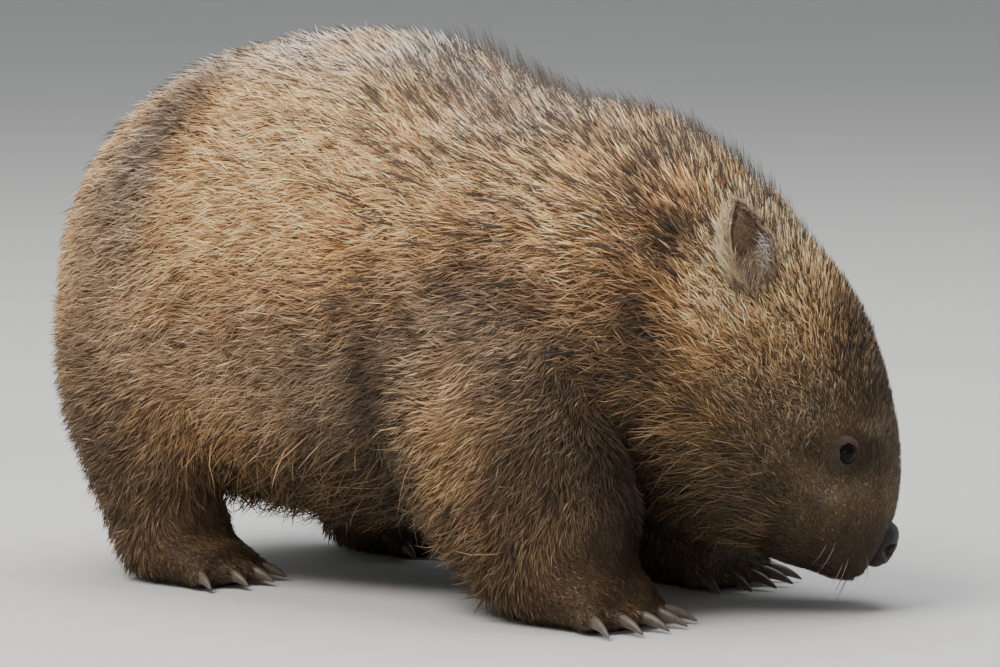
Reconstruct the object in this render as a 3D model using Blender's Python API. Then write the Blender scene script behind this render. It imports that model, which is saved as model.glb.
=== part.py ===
"""A bare-nosed wombat grazing, life size, as a still model such as a museum shows.

The animal faces +X and stands on z = 0. Its lowered head is turned to its left, +Y. Trunk, neck and head
are one hide, a row of rounded sections between a line along the back and a line along the belly, parted by
thin flat cuts. Legs, ears, eyes, nose and claws are set on that hide from its own sizes. All sizes are metres.
"""

import math
from collections import namedtuple

import bmesh
import bpy
import numpy as np
from mathutils import Matrix, Vector
from mathutils.bvhtree import BVHTree

MM = 0.001
GAP = 0.3 * MM
CUTTER_GROWTH = 0.36 * MM  # a cutter moved out along its normals, so that flat faces end up GAP apart

# The hide: where the back line and the belly line pass, as seen from the side with the head straight ahead.
Station = namedtuple("Station", "back belly half_width squareness")
STATIONS = (
    Station((-0.318, 0.316), (-0.311, 0.108), 0.144, 2.10),  # rump
    Station((-0.257, 0.352), (-0.247, 0.072), 0.157, 2.15),
    Station((-0.180, 0.379), (-0.180, 0.053), 0.163, 2.20),  # hips
    Station((-0.092, 0.394), (-0.100, 0.044), 0.165, 2.20),
    Station((-0.020, 0.388), (-0.030, 0.046), 0.162, 2.20),  # barrel
    Station((0.045, 0.362), (0.045, 0.056), 0.154, 2.20),
    Station((0.102, 0.346), (0.105, 0.070), 0.144, 2.20),  # shoulders
    Station((0.154, 0.341), (0.145, 0.082), 0.131, 2.20),
    Station((0.200, 0.323), (0.170, 0.085), 0.120, 2.20),  # neck
    Station((0.239, 0.293), (0.184, 0.076), 0.112, 2.25),
    Station((0.272, 0.260), (0.196, 0.068), 0.106, 2.30),  # crown
    Station((0.305, 0.222), (0.212, 0.056), 0.098, 2.35),
    Station((0.328, 0.177), (0.232, 0.045), 0.086, 2.40),  # brow
    Station((0.340, 0.130), (0.255, 0.034), 0.070, 2.45),  # eyes
    Station((0.343, 0.092), (0.277, 0.027), 0.055, 2.45),
    Station((0.338, 0.062), (0.297, 0.020), 0.047, 2.40),  # muzzle
    Station((0.329, 0.040), (0.312, 0.018), 0.040, 2.30),  # nose
)
# How far under the coat's tips the solid core lies at each station. The face has short hair only.
CORE_DEPTH = MM * np.array([7, 7, 7, 7, 7, 7, 7, 7, 6.5, 6, 5, 3.5, 1.5, 0.5, 0, 0, 0])
RUMP_ROUNDING = 2.0  # stations over which the rump closes to its pole
NOSE_ROUNDING = 1.2
SAG = 0.10  # how far below its middle each section is widest
LAST = len(STATIONS) - 1

NECK_REAR, NECK_FRONT = 7.35, 9.05  # the flat cuts, as places along the stations
TURN_PIVOT_X = 0.165
TURN_START, TURN_END = 5.0, 12.0
HEAD_TURN = math.radians(33)

AROUND = 26
TRUNK_RINGS, NECK_RINGS, HEAD_RINGS = 18, 4, 17

# The legs, for the right side: centre line, half length fore and aft, half width across, and how many degrees
# the front of the section is tipped up.
LegStation = namedtuple("LegStation", "centre half_length half_width tip")
FORE_LEG = (
    LegStation((0.098, -0.066, 0.262), 0.050, 0.040, 0),
    LegStation((0.104, -0.096, 0.205), 0.080, 0.052, 2),
    LegStation((0.117, -0.112, 0.150), 0.088, 0.056, 8),
    LegStation((0.143, -0.114, 0.104), 0.087, 0.055, 18),  # elbow
    LegStation((0.168, -0.111, 0.068), 0.074, 0.051, 30),
    LegStation((0.187, -0.108, 0.042), 0.054, 0.047, 45),  # wrist
    LegStation((0.206, -0.107, 0.024), 0.031, 0.045, 66),
    LegStation((0.229, -0.107, 0.015), 0.019, 0.042, 88),
)
HIND_LEG = (
    LegStation((-0.190, -0.060, 0.262), 0.060, 0.050, 0),
    LegStation((-0.186, -0.096, 0.200), 0.086, 0.060, 0),
    LegStation((-0.184, -0.108, 0.140), 0.082, 0.060, 4),
    LegStation((-0.179, -0.112, 0.090), 0.061, 0.052, 10),
    LegStation((-0.175, -0.110, 0.054), 0.047, 0.043, 24),
    LegStation((-0.165, -0.108, 0.029), 0.034, 0.040, 45),  # ankle
    LegStation((-0.145, -0.107, 0.018), 0.022, 0.040, 72),
    LegStation((-0.122, -0.107, 0.012), 0.016, 0.036, 88),
)
LEFT_FORE_BACK, LEFT_HIND_AHEAD = 0.064, 0.012  # how the left legs stand in the step, against the right ones
LEG_CORE_DEPTH = 5 * MM  # under the coat's tips, down to the ankle
ANKLE = 5.0  # where leg and paw part, as a place along the leg's stations
LEG_AROUND, LEG_RINGS, PAW_RINGS = 16, 9, 5

FORE_TOES, HIND_TOES = 5, 4
TOE_LENGTH, TOE_RADIUS = 0.017, 0.0098
TOE_SPLAY = math.radians(26)  # between the outermost toes and straight ahead
FORE_CLAW, HIND_CLAW = 0.023, 0.017
CLAW_RADIUS, CLAW_TIP = 0.0046, 0.0010
CLAW_DROP = math.radians(30)
CLAW_CLEARANCE = 1.2 * MM

# The head's features, placed in its side view before it is turned.
EYE_AT = (0.3085, 0.1145)
EYE_RADIUS, EYE_DEPTH = 0.0085, 0.0050
LID_LENGTH, LID_HEIGHT, LID_TUBE = 0.0094, 0.0066, 0.0023
EAR_BASE = (0.256, 0.240)
EAR_LENGTH, EAR_WIDTH, EAR_WALL = 0.062, 0.0215, 0.0040
EAR_ROOT_DEPTH, EAR_ROOT_OUT = 0.011, 0.008
EAR_LIFT = math.radians(40)  # between the ear and the hide
EAR_BACK = {-1: math.radians(32), 1: math.radians(66)}  # from upright; the left ear is laid back
NOSE_AT = (0.3275, 0.0445)
NOSE_SIZE = (0.0115, 0.0225, 0.0165)  # how far it stands out, half width and half height
NOSTRIL_SIZE = (0.009, 0.0042, 0.0032)
MOUTH_FROM, MOUTH_TO = 13.7, 15.82
MOUTH_ANGLE = math.radians(128)
MOUTH_STEPS = 7
LIP_TUBE, MOUTH_GROOVE = 0.0042, 0.0015

TAIL_AT, TAIL_LENGTH, TAIL_RADIUS = 0.190, 0.024, 0.009

# Locks: for each section, the share of the length it lies at, its breadth, and how far its edges and its ridge
# stand off the core, as shares of the width and of the lift.
LOCK_SECTIONS = ((0.0, 0.60, -0.55, -0.15), (0.34, 1.0, 0.02, 0.55), (0.70, 0.66, 0.32, 0.86), (1.0, 0, 0, 1.0))
HAIR_FALL = 0.42  # how far the hair falls for each length that it lies back
FLOOR_CLEARANCE = 2 * MM
BODY_LOCK = (0.100, 0.047, 0.0090)  # length, width and how far the tip stands off the core
BELLY_LOCK = (0.086, 0.048, 0.0115)
NAPE_LOCK = (0.074, 0.040, 0.0090)
CREST_LOCK = (0.056, 0.022, 0.0130)
CHEEK_LOCK = (0.068, 0.032, 0.0090)
LEG_LOCK = (0.064, 0.036, 0.0100)
FRINGE_LOCK = (0.070, 0.030, 0.0160)
SEED = 11

COAT = ((0.235, 0.150, 0.085, 1), 0.85)
FACE = ((0.150, 0.105, 0.065, 1), 0.80)
LIMBS = ((0.120, 0.078, 0.048, 1), 0.85)
PAWS = ((0.055, 0.038, 0.028, 1), 0.80)
EAR_SKIN = ((0.130, 0.090, 0.065, 1), 0.75)
NOSE_SKIN = ((0.022, 0.018, 0.017, 1), 0.42)
CLAW_HORN = ((0.090, 0.072, 0.055, 1), 0.45)
EYE_BLACK = ((0.010, 0.007, 0.005, 1), 0.08)


def material(name, look):
    """A Principled BSDF of one colour and roughness."""
    made = bpy.data.materials.get(name) or bpy.data.materials.new(name)
    made.use_nodes = True
    shader = made.node_tree.nodes["Principled BSDF"]
    shader.inputs["Base Color"].default_value = look[0]
    shader.inputs["Roughness"].default_value = look[1]
    shader.inputs["Metallic"].default_value = 0.0
    return made


def through(values, at):
    """A smooth curve through the rows of values, one to each whole number, read at the places in at."""
    values = np.asarray(values, float)
    at = np.clip(np.atleast_1d(np.asarray(at, float)), 0, len(values) - 1)
    slope = np.gradient(values, axis=0)
    low = np.minimum(at.astype(int), len(values) - 2)
    u = (at - low).reshape((-1,) + (1,) * (values.ndim - 1))
    a, b, ma, mb = values[low], values[low + 1], slope[low], slope[low + 1]
    return (
        a * (2 * u**3 - 3 * u**2 + 1)
        + ma * (u**3 - 2 * u**2 + u)
        + b * (3 * u**2 - 2 * u**3)
        + mb * (u**3 - u**2)
    )


def smooth_step(value):
    value = np.clip(value, 0, 1)
    return value * value * (3 - 2 * value)


def turned(points, at):
    """Side-view points of the hide, turned to the animal's left about the neck's pivot as at runs to the head."""
    angle = HEAD_TURN * smooth_step((np.asarray(at) - TURN_START) / (TURN_END - TURN_START))
    x, y = points[..., 0] - TURN_PIVOT_X, points[..., 1]
    out = points.copy()
    out[..., 0] = TURN_PIVOT_X + x * np.cos(angle) - y * np.sin(angle)
    out[..., 1] = x * np.sin(angle) + y * np.cos(angle)
    return out


def power(value, exponent):
    return np.sign(value) * np.abs(value) ** exponent


def section(at, angle):
    """Unit heights and widths round a section: a superellipse, widest a little below its middle."""
    squareness = through([s.squareness for s in STATIONS], at)
    side = power(np.sin(angle), 2 / squareness)
    return power(np.cos(angle), 2 / squareness) - SAG * side**2, side


def hide_points(at, angle):
    """The core's surface at places along the stations and angles round it: 0 the back, 90 the right, 180 the belly.

    Each section lies in the plane of its back and belly points. The two ends close to a pole, roundly at the
    rump and more squarely at the nose."""
    at, angle = np.broadcast_arrays(np.asarray(at, float), np.asarray(angle, float))
    shape, flat, round_by = at.shape, at.ravel(), angle.ravel()
    back = through([s.back for s in STATIONS], flat)
    belly = through([s.belly for s in STATIONS], flat)
    half_width = through([s.half_width for s in STATIONS], flat)
    rump = 1 - np.clip(1 - flat / RUMP_ROUNDING, 0, 1) ** 2.3
    nose = 1 - np.clip(1 - (LAST - flat) / NOSE_ROUNDING, 0, 1) ** 3.0
    closing = np.clip(rump, 0, 1) ** (1 / 2.3) * np.clip(nose, 0, 1) ** (1 / 3.0)
    depth = through(CORE_DEPTH, flat)
    up, side = section(flat, round_by)
    up, side = up * closing, side * closing * (half_width - depth)
    middle, reach = (back + belly) / 2, (back - belly) / 2
    middle[:, 0] += depth * np.clip(1 - flat / RUMP_ROUNDING, 0, 1)
    reach *= (1 - depth / np.linalg.norm(reach, axis=1))[:, None]
    points = np.stack(
        [middle[:, 0] + reach[:, 0] * up, -side, middle[:, 1] + reach[:, 1] * up], axis=1
    )
    return turned(points, flat).reshape(shape + (3,))


def hide_normals(at, angle):
    """The hide's outward normals, from how its points change with each of the two parameters."""
    step = 1e-3
    along = hide_points(at + step, angle) - hide_points(at - step, angle)
    about = hide_points(at, angle + step) - hide_points(at, angle - step)
    normal = np.cross(about, along)
    return normal / np.maximum(np.linalg.norm(normal, axis=-1, keepdims=True), 1e-12)


def even_places(start, end, count):
    """Places along the stations, at even distances over the back, the belly and the sides together."""
    fine = np.linspace(start, end, 600)
    lines = hide_points(fine[:, None], np.radians([0, 90, 180, 270])[None, :])
    steps = np.linalg.norm(np.diff(lines, axis=0), axis=-1).mean(1)
    run = np.concatenate([[0], np.cumsum(steps)])
    return np.interp(np.linspace(0, run[-1], count), run, fine)


def place_on_hide(side_view, side):
    """The place and angle on the hide that a side-view point lies over; side is -1 for the right, 1 for the left."""
    at, angle = np.meshgrid(np.linspace(6, LAST, 300), np.linspace(0.02, math.pi - 0.02, 240), indexing="ij")
    back = through([s.back for s in STATIONS], at.ravel())
    belly = through([s.belly for s in STATIONS], at.ravel())
    up = section(at.ravel(), angle.ravel())[0][:, None]
    flat = (back + belly) / 2 + (back - belly) / 2 * up
    best = np.argmin(((flat - np.asarray(side_view)) ** 2).sum(1))
    return at.ravel()[best], -side * angle.ravel()[best]


def head_frame(at, angle):
    """A point of the hide with its outward normal, the way along the head to the nose and the way round it."""
    point, normal = hide_points(at, angle), hide_normals(at, angle)
    ahead = hide_points(at + 0.05, angle) - point
    ahead -= normal * (ahead @ normal)
    ahead /= np.linalg.norm(ahead)
    return point, normal, ahead, np.cross(normal, ahead)


def mesh_object(name, points, faces, look):
    """An object of one mesh, smooth where its faces meet at less than 40 degrees."""
    mesh = bpy.data.meshes.new(name)
    mesh.from_pydata([tuple(p) for p in points], [], faces)
    mesh.validate()
    mesh.materials.append(material(name + "_finish", look))
    made = bpy.data.objects.new(name, mesh)
    bpy.context.scene.collection.objects.link(made)
    outwards(made)
    return made


def outwards(made):
    """Turns a closed mesh's faces outwards."""
    shape = bmesh.new()
    shape.from_mesh(made.data)
    bmesh.ops.recalc_face_normals(shape, faces=shape.faces)
    if shape.calc_volume(signed=True) < 0:
        bmesh.ops.reverse_faces(shape, faces=shape.faces)
    shape.to_mesh(made.data)
    shape.free()
    made.data.shade_smooth()
    made.data.set_sharp_from_angle(angle=math.radians(40))


def skinned(name, rings, look):
    """A closed solid over a row of rings. A ring whose points are one is a pole, and another end gets a flat cap."""
    points, rows = [], []
    for ring in rings:
        spread = np.ptp(ring, axis=0).max()
        kept = ring.mean(0)[None] if spread < 1e-6 else ring
        rows.append(range(len(points), len(points) + len(kept)))
        points.extend(kept)
    faces = []
    for low, high in zip(rows, rows[1:]):
        count = max(len(low), len(high))
        for i in range(count):
            j = (i + 1) % count
            a, b, c, d = low[i % len(low)], low[j % len(low)], high[j % len(high)], high[i % len(high)]
            faces.extend(face for face in ((a, b, c), (a, c, d)) if len(set(face)) == 3)
    faces.extend(list(row) for row in (rows[0], rows[-1]) if len(row) > 2)
    return mesh_object(name, points, faces, look)


def grown(made, by=CUTTER_GROWTH):
    """A copy of an object, moved out along its normals, to cut its neighbour with."""
    copy = made.copy()
    copy.data = made.data.copy()
    copy.name = made.name + "_grown"
    bpy.context.scene.collection.objects.link(copy)
    shape = bmesh.new()
    shape.from_mesh(copy.data)
    shape.normal_update()
    for vert in shape.verts:
        vert.co += vert.normal * by * vert.calc_shell_factor()
    shape.to_mesh(copy.data)
    shape.free()
    copy.hide_render = True
    copy.display_type = "WIRE"
    return copy


def copies(cutters):
    """Copies of hidden cutters, for a cut that uses them up."""
    made = [cutter.copy() for cutter in cutters]
    for copy in made:
        bpy.context.scene.collection.objects.link(copy)
    return made


def combine(made, others, operation):
    """Joins others to an object or cuts them from it, applies the result and removes the others."""
    group = bpy.data.collections.new("joining")
    bpy.context.scene.collection.children.link(group)
    for other in others:
        group.objects.link(other)
    step = made.modifiers.new("join", "BOOLEAN")
    step.operation = operation
    step.operand_type = "COLLECTION"
    step.collection = group
    step.solver = "MANIFOLD"
    graph = bpy.context.evaluated_depsgraph_get()
    result = bpy.data.meshes.new_from_object(made.evaluated_get(graph))
    made.modifiers.clear()
    made.data = result
    for other in others:
        bpy.data.objects.remove(other)
    bpy.data.collections.remove(group)
    keep_largest(made)
    return made


def keep_largest(made):
    """Keeps the largest closed surface of a mesh and drops loose scraps."""
    shape = bmesh.new()
    shape.from_mesh(made.data)
    left, islands = set(shape.verts), []
    while left:
        island, front = set(), [left.pop()]
        while front:
            vert = front.pop()
            island.add(vert)
            near = {edge.other_vert(vert) for edge in vert.link_edges} & left
            left -= near
            front.extend(near)
        islands.append(island)
    islands.sort(key=len)
    for island in islands[:-1]:
        bmesh.ops.delete(shape, geom=list(island), context="VERTS")
    shape.to_mesh(made.data)
    shape.free()
    made.data.shade_smooth()
    made.data.set_sharp_from_angle(angle=math.radians(40))


def section_plane(at):
    """A point on the hide's section there and the section's normal, towards the nose."""
    ring = hide_points(at, np.linspace(0, 2 * math.pi, 8, endpoint=False))
    middle = ring.mean(0)
    normal = np.cross(ring[0] - middle, ring[2] - middle)
    normal /= np.linalg.norm(normal)
    if normal @ (hide_points(at + 0.1, 0.0) - ring[0]) < 0:
        normal = -normal
    return middle, normal


def hide_part(name, places, look):
    """One length of the hide. Where it starts at a flat cut, it stands GAP off the length before it."""
    angles = np.linspace(0, 2 * math.pi, AROUND, endpoint=False)
    rings = [hide_points(at, angles) for at in places]
    if places[0] > 0:
        rings[0] = rings[0] + section_plane(places[0])[1] * GAP
    return skinned(name, rings, look)


def tube(name, path, radius, look, sides=8):
    """A closed tube of round section along a path; radius is one number or one for each point."""
    path = np.asarray(path, float)
    radius = np.broadcast_to(radius, len(path))
    tangent = np.gradient(path, axis=0)
    tangent /= np.linalg.norm(tangent, axis=1, keepdims=True)
    across = np.cross(tangent[0], (0.3, 0.2, 0.93))
    rings = []
    turn = np.linspace(0, 2 * math.pi, sides, endpoint=False)[:, None]
    for point, way, size in zip(path, tangent, radius):
        across = across - way * (across @ way)
        across /= np.linalg.norm(across)
        other = np.cross(way, across)
        rings.append(point + size * (across * np.cos(turn) + other * np.sin(turn)))
    return skinned(name, rings, look)


def ellipsoid(name, centre, axes, look, around=14, rings=8):
    """A closed ellipsoid; axes are its three half axes as vectors, the first being its pole."""
    pole, second, third = (np.asarray(axis, float) for axis in axes)
    turn = np.linspace(0, 2 * math.pi, around, endpoint=False)[:, None]
    made = []
    for lift in np.linspace(0, math.pi, rings + 1):
        ring = second * np.cos(turn) + third * np.sin(turn)
        made.append(np.asarray(centre) + pole * math.cos(lift) + ring * math.sin(lift))
    return skinned(name, made, look)


def mirrored(vector, side):
    """A right-side direction, or for side 1 its twin on the left."""
    return np.asarray(vector, float) * (1, -side, 1)


def leg_rings(stations, start, end, count, side):
    """Rings along a leg. Each ring's fore-and-aft axis is tipped as the stations say."""
    places = np.linspace(start, end, count)
    centre = through([s.centre for s in stations], places)
    length = through([s.half_length for s in stations], places)
    width = through([s.half_width for s in stations], places)
    tips = np.radians(through([s.tip for s in stations], places))
    depth = LEG_CORE_DEPTH * (1 - smooth_step(places - ANKLE + 1.2))
    across = np.array([0.0, 1.0, 0.0])
    turn = np.linspace(0, 2 * math.pi, LEG_AROUND, endpoint=False)[:, None]
    rings = []
    for point, half_length, half_width, tip, under in zip(centre, length, width, tips, depth):
        fore = np.array([math.cos(tip), 0.0, math.sin(tip)])
        half_length, half_width = half_length - under, half_width - under
        ring = point + half_length * fore * np.cos(turn) + half_width * across * np.sin(turn)
        rings.append(ring * (1, -side, 1))
    return rings


def leg_and_paw(name, stations, toes, claw_length, side, hide, ahead_by=0.0):
    """A leg that ends flat at its ankle, the paw below it on a flat sole, and the paw's claws."""
    letter = "R" if side < 0 else "L"
    step = np.linspace(0, 1, len(stations)) ** 0.7 * ahead_by
    stations = [s._replace(centre=(s.centre[0] + x, *s.centre[1:])) for s, x in zip(stations, step)]
    upper = leg_rings(stations, 0, ANKLE, LEG_RINGS, side)
    leg = skinned(f"{name}_leg_{letter}", upper, LIMBS)
    combine(leg, copies(hide), "DIFFERENCE")
    lower = leg_rings(stations, ANKLE, len(stations) - 1, PAW_RINGS, side)
    tip = math.radians(stations[int(ANKLE)].tip)
    drop = np.array([math.sin(tip), 0.0, -math.cos(tip)])
    lower[0] = lower[0] + drop * GAP
    paw = skinned(f"{name}_paw_{letter}", lower, PAWS)
    end, width = np.array(stations[-1].centre), stations[-1].half_width
    knuckles, claws = [], []
    for i in range(toes):
        share = 2 * i / (toes - 1) - 1
        splay = share * TOE_SPLAY
        ahead = np.array([math.cos(splay), math.sin(splay), 0.0])
        aside = np.array([-ahead[1], ahead[0], 0.0])
        base = end + (0.004 - 0.010 * share**2, share * (width - TOE_RADIUS * 0.7), TOE_RADIUS * 1.02 - end[2])
        axes = [mirrored(v, side) for v in (ahead * TOE_LENGTH, aside * TOE_RADIUS, (0, 0, TOE_RADIUS))]
        knuckles.append(ellipsoid("toe", mirrored(base, side), axes, PAWS, around=8, rings=4))
        claws.append((base + ahead * TOE_LENGTH * 0.72, ahead))
    combine(paw, knuckles, "UNION")
    floor = ellipsoid("floor", (0, 0, 0), ((0, 0, 1), (1, 0, 0), (0, 1, 0)), PAWS, around=4, rings=2)
    floor_box(floor)
    combine(paw, [floor], "DIFFERENCE")
    for i, (root, ahead) in enumerate(claws):
        bend = np.linspace(0.15, 1, 3)[:, None] * CLAW_DROP
        steps = ahead * np.cos(bend) - np.array([0, 0, 1.0]) * np.sin(bend)
        path = root + np.concatenate([[np.zeros(3)], np.cumsum(steps, axis=0)]) * claw_length / 3
        path[:, 2] += max(0.0, CLAW_CLEARANCE + CLAW_TIP - path[-1, 2])
        radius = np.linspace(1, 0, len(path)) ** 0.8 * (CLAW_RADIUS - CLAW_TIP) + CLAW_TIP
        claw = tube(f"{name}_claw_{letter}{i + 1}", path * (1, -side, 1), radius, CLAW_HORN, sides=5)
        combine(claw, [grown(paw)], "DIFFERENCE")
    return leg, stations


def floor_box(made):
    """Makes a mesh into a wide box whose top is the floor."""
    shape = bmesh.new()
    bmesh.ops.create_cube(shape, size=1.0)
    for vert in shape.verts:
        vert.co.z -= 0.5
    shape.to_mesh(made.data)
    shape.free()


def ear(side):
    """An ear: a leaf-shaped cup, leaning up and back. Each section across it is a crescent, open outwards."""
    at, angle = place_on_hide(EAR_BASE, side)
    point, normal, _, _ = head_frame(at, angle)
    back = math.sin(EAR_BACK[side])
    rise = np.array([-back * math.cos(HEAD_TURN), -back * math.sin(HEAD_TURN), math.cos(EAR_BACK[side])])
    rise -= normal * (rise @ normal)
    rise /= np.linalg.norm(rise)
    axis = rise * math.cos(EAR_LIFT) + normal * math.sin(EAR_LIFT)
    facing = normal * math.cos(EAR_LIFT) - rise * math.sin(EAR_LIFT)
    beside = np.cross(axis, facing)
    root = point - normal * EAR_ROOT_DEPTH + facing * EAR_ROOT_OUT
    rings = []
    lifts = np.array([0.0, 0.14, 0.30, 0.46, 0.62, 0.77, 0.89, 0.97])
    for lift in lifts:
        width = EAR_WIDTH * (0.78 + 0.9 * lift - 1.45 * lift**2 - 0.12 * lift**6)
        open_half = math.radians(52 + 34 * smooth_step(lift * 1.2))
        wall = EAR_WALL * (1.25 - 0.6 * lift)
        outer = np.linspace(open_half, 2 * math.pi - open_half, 9)
        cup = np.stack([np.cos(outer), np.sin(outer)], 1)
        inner = cup[1:-1][::-1] * (1 - wall / width)
        flat = np.concatenate([cup, inner]) * width * (0.82, 1.0)
        centre = root + axis * EAR_LENGTH * lift - facing * EAR_WIDTH * 0.25 * lift**2
        rings.append(centre + flat[:, :1] * facing + flat[:, 1:] * beside)
    return skinned(f"ear_{'R' if side < 0 else 'L'}", rings, EAR_SKIN)


def eye(side):
    """An eyeball and the almond ring of its lids, which belongs to the head."""
    at, angle = place_on_hide(EYE_AT, side)
    point, normal, ahead, aside = head_frame(at, angle)
    centre = point - normal * EYE_DEPTH
    axes = (normal * EYE_RADIUS, ahead * EYE_RADIUS, aside * EYE_RADIUS)
    ball = ellipsoid(f"eye_{'R' if side < 0 else 'L'}", centre, axes, EYE_BLACK, around=14, rings=7)
    turn = np.linspace(0, 2 * math.pi, 17)
    almond = np.abs(np.sin(turn)) ** 1.15 * np.sign(np.sin(turn))
    rim = ahead * (np.cos(turn) * LID_LENGTH)[:, None] + aside * (almond * LID_HEIGHT)[:, None]
    lift = np.sqrt(np.maximum((EYE_RADIUS + 0.4 * MM) ** 2 - (rim**2).sum(1), (2.0 * MM) ** 2))
    path = centre + rim + normal * lift[:, None]
    rings = ring_tube(path[:-1], LID_TUBE, centre)
    return ball, closed_ring("lids", rings, FACE)


def ring_tube(path, radius, centre):
    """Sections of a tube that runs round in a closed loop."""
    way = np.roll(path, -1, axis=0) - np.roll(path, 1, axis=0)
    way /= np.linalg.norm(way, axis=1, keepdims=True)
    out = path - centre
    out -= way * (out * way).sum(1, keepdims=True)
    out /= np.linalg.norm(out, axis=1, keepdims=True)
    other = np.cross(way, out)
    turn = np.linspace(0, 2 * math.pi, 6, endpoint=False)
    return [path + radius * (out * math.cos(t) + other * math.sin(t)) for t in turn]


def closed_ring(name, rows, look):
    """A closed loop of tube from its lengthwise rows of points."""
    count, sides = len(rows[0]), len(rows)
    points = np.concatenate(rows)
    faces = []
    for s in range(sides):
        n = (s + 1) % sides
        for i in range(count):
            j = (i + 1) % count
            faces.append([s * count + i, s * count + j, n * count + j, n * count + i])
    return mesh_object(name, points, faces, look)


def mouth_path():
    """The line of the mouth: back along one side of the muzzle, round its front and back along the other."""
    half = np.linspace(MOUTH_FROM, MOUTH_TO, MOUTH_STEPS)
    front = np.linspace(MOUTH_ANGLE, 2 * math.pi - MOUTH_ANGLE, MOUTH_STEPS)[1:-1]
    at = np.concatenate([half, np.full(len(front), MOUTH_TO), half[::-1]])
    side = np.full(MOUTH_STEPS, MOUTH_ANGLE)
    angle = np.concatenate([side, front, 2 * math.pi - side])
    return hide_points(at, angle), hide_normals(at, angle)


def nose(head):
    """The bare nose pad at the end of the muzzle, with a nostril cut into each side."""
    turn = HEAD_TURN
    fore = np.array([math.cos(turn), math.sin(turn), 0.0])
    left = np.array([-math.sin(turn), math.cos(turn), 0.0])
    up = np.array([0.0, 0.0, 1.0])
    centre = np.array([TURN_PIVOT_X, 0, 0]) + fore * (NOSE_AT[0] - TURN_PIVOT_X) + up * NOSE_AT[1]
    out = fore * 0.86 - up * 0.51
    rise = fore * 0.51 + up * 0.86
    depth, half_width, half_height = NOSE_SIZE
    axes = (out * depth, left * half_width, rise * half_height)
    pad = ellipsoid("nose", centre, axes, NOSE_SKIN, around=14, rings=7)
    combine(pad, [grown(head)], "DIFFERENCE")
    holes = []
    for side in (-1, 1):
        at = centre + out * depth * 0.80 + left * side * half_width * 0.48 - rise * half_height * 0.10
        deep, wide, high = NOSTRIL_SIZE
        lean = left * side * 0.80 + rise * 0.60
        axes = (out * deep, lean * wide * 1.5, np.cross(out, lean) * high)
        holes.append(ellipsoid("nostril", at, axes, NOSE_SKIN, around=8, rings=4))
    combine(pad, holes, "DIFFERENCE")
    return pad


def add_features(head):
    """Joins lids and lips to the head, and cuts the eye sockets and the line of the mouth into it."""
    path, normal = mouth_path()
    balls, lids = zip(*(eye(side) for side in (-1, 1)))
    lips = tube("lips", path - normal * LIP_TUBE * 0.55, LIP_TUBE, FACE, sides=6)
    combine(head, [*lids, lips], "UNION")
    groove = tube("groove", path + normal * LIP_TUBE * 0.35, MOUTH_GROOVE, FACE, sides=5)
    combine(head, [groove, *(grown(ball) for ball in balls)], "DIFFERENCE")


def tail():
    """The short stub of a tail, low on the rump."""
    root = np.array([STATIONS[0].belly[0] - 0.002, 0.0, TAIL_AT])
    way = np.array([-0.72, 0.0, -0.69])
    path = root + way * np.linspace(-0.4, 1, 5)[:, None] * TAIL_LENGTH
    return tube("tail", path, TAIL_RADIUS * np.array([1.1, 1.15, 1.0, 0.8, 0.35]), COAT)


def surface_of(made):
    """A searchable copy of an object's surface."""
    mesh = made.data
    corners = [vert.co.copy() for vert in mesh.vertices]
    return BVHTree.FromPolygons(corners, [face.vertices[:] for face in mesh.polygons])


def laid_lock(surface, root, way, size):
    """The points of one lock: a flat, tapered blade that leaves the hide at its root and bends along with it.

    Its path starts under the surface and is carried along it by the lie of the hair. At each step two edges
    and a ridge stand off the surface, by rising amounts, and they meet in the tip."""
    length, width, lift = size
    at, normal, _, _ = surface.find_nearest(Vector(root))
    heading = Vector(way)
    points, before = [], 0.0
    for share, breadth, edge, ridge in LOCK_SECTIONS:
        heading = (heading - normal * heading.dot(normal)).normalized()
        at, normal, _, _ = surface.find_nearest(at + heading * length * (share - before))
        before = share
        across = heading.cross(normal).normalized()
        spine = at + normal * (ridge * lift)
        if breadth == 0:
            points.append(spine)
            continue
        for side in (-1, 1):
            foot, out, _, _ = surface.find_nearest(at + across * (side * width * breadth / 2))
            points.append(foot + out * (edge * lift))
        points.append(spine)
    return points


def lock_faces():
    """Triangles over the rings of three points that a lock has, with a flat root and one point at its tip."""
    faces, last = [(0, 1, 2)], 3 * (len(LOCK_SECTIONS) - 2)
    for low in range(0, last, 3):
        for i in range(3):
            j = (i + 1) % 3
            faces += [(low + i, low + 3 + i, low + j), (low + j, low + 3 + i, low + 3 + j)]
    faces += [(last + i, last + 3, last + (i + 1) % 3) for i in range(3)]
    return faces


def is_clear(points, faces, obstacles):
    """Whether a lock crosses none of the surfaces. Its root is in its own node, so it can't lie inside another."""
    blade = BVHTree.FromPolygons(points, faces)
    return not any(blade.overlap(surface) for surface in obstacles)


def grow_locks(made, surface, roots, obstacles):
    """Sets locks on an object, shorter where a neighbour is in the way, and fuses them with it.

    Each root is a point, the way its hair lies and its length, width and lift."""
    faces, locks = lock_faces(), []
    for root, way, (length, width, lift) in roots:
        for share in (1.0, 0.7, 0.45):
            points = laid_lock(surface, root, way, (length * share, width * share**0.5, lift * share**0.5))
            if min(point.z for point in points) > FLOOR_CLEARANCE and is_clear(points, faces, obstacles):
                locks.append(mesh_object("lock", points, faces, COAT))
                break
    placed = [grown(lock) for lock in locks]
    tips = [surface_of(lock) for lock in placed]
    for lock in placed:
        bpy.data.objects.remove(lock)
    combine(made, locks, "UNION")
    return tips


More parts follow.
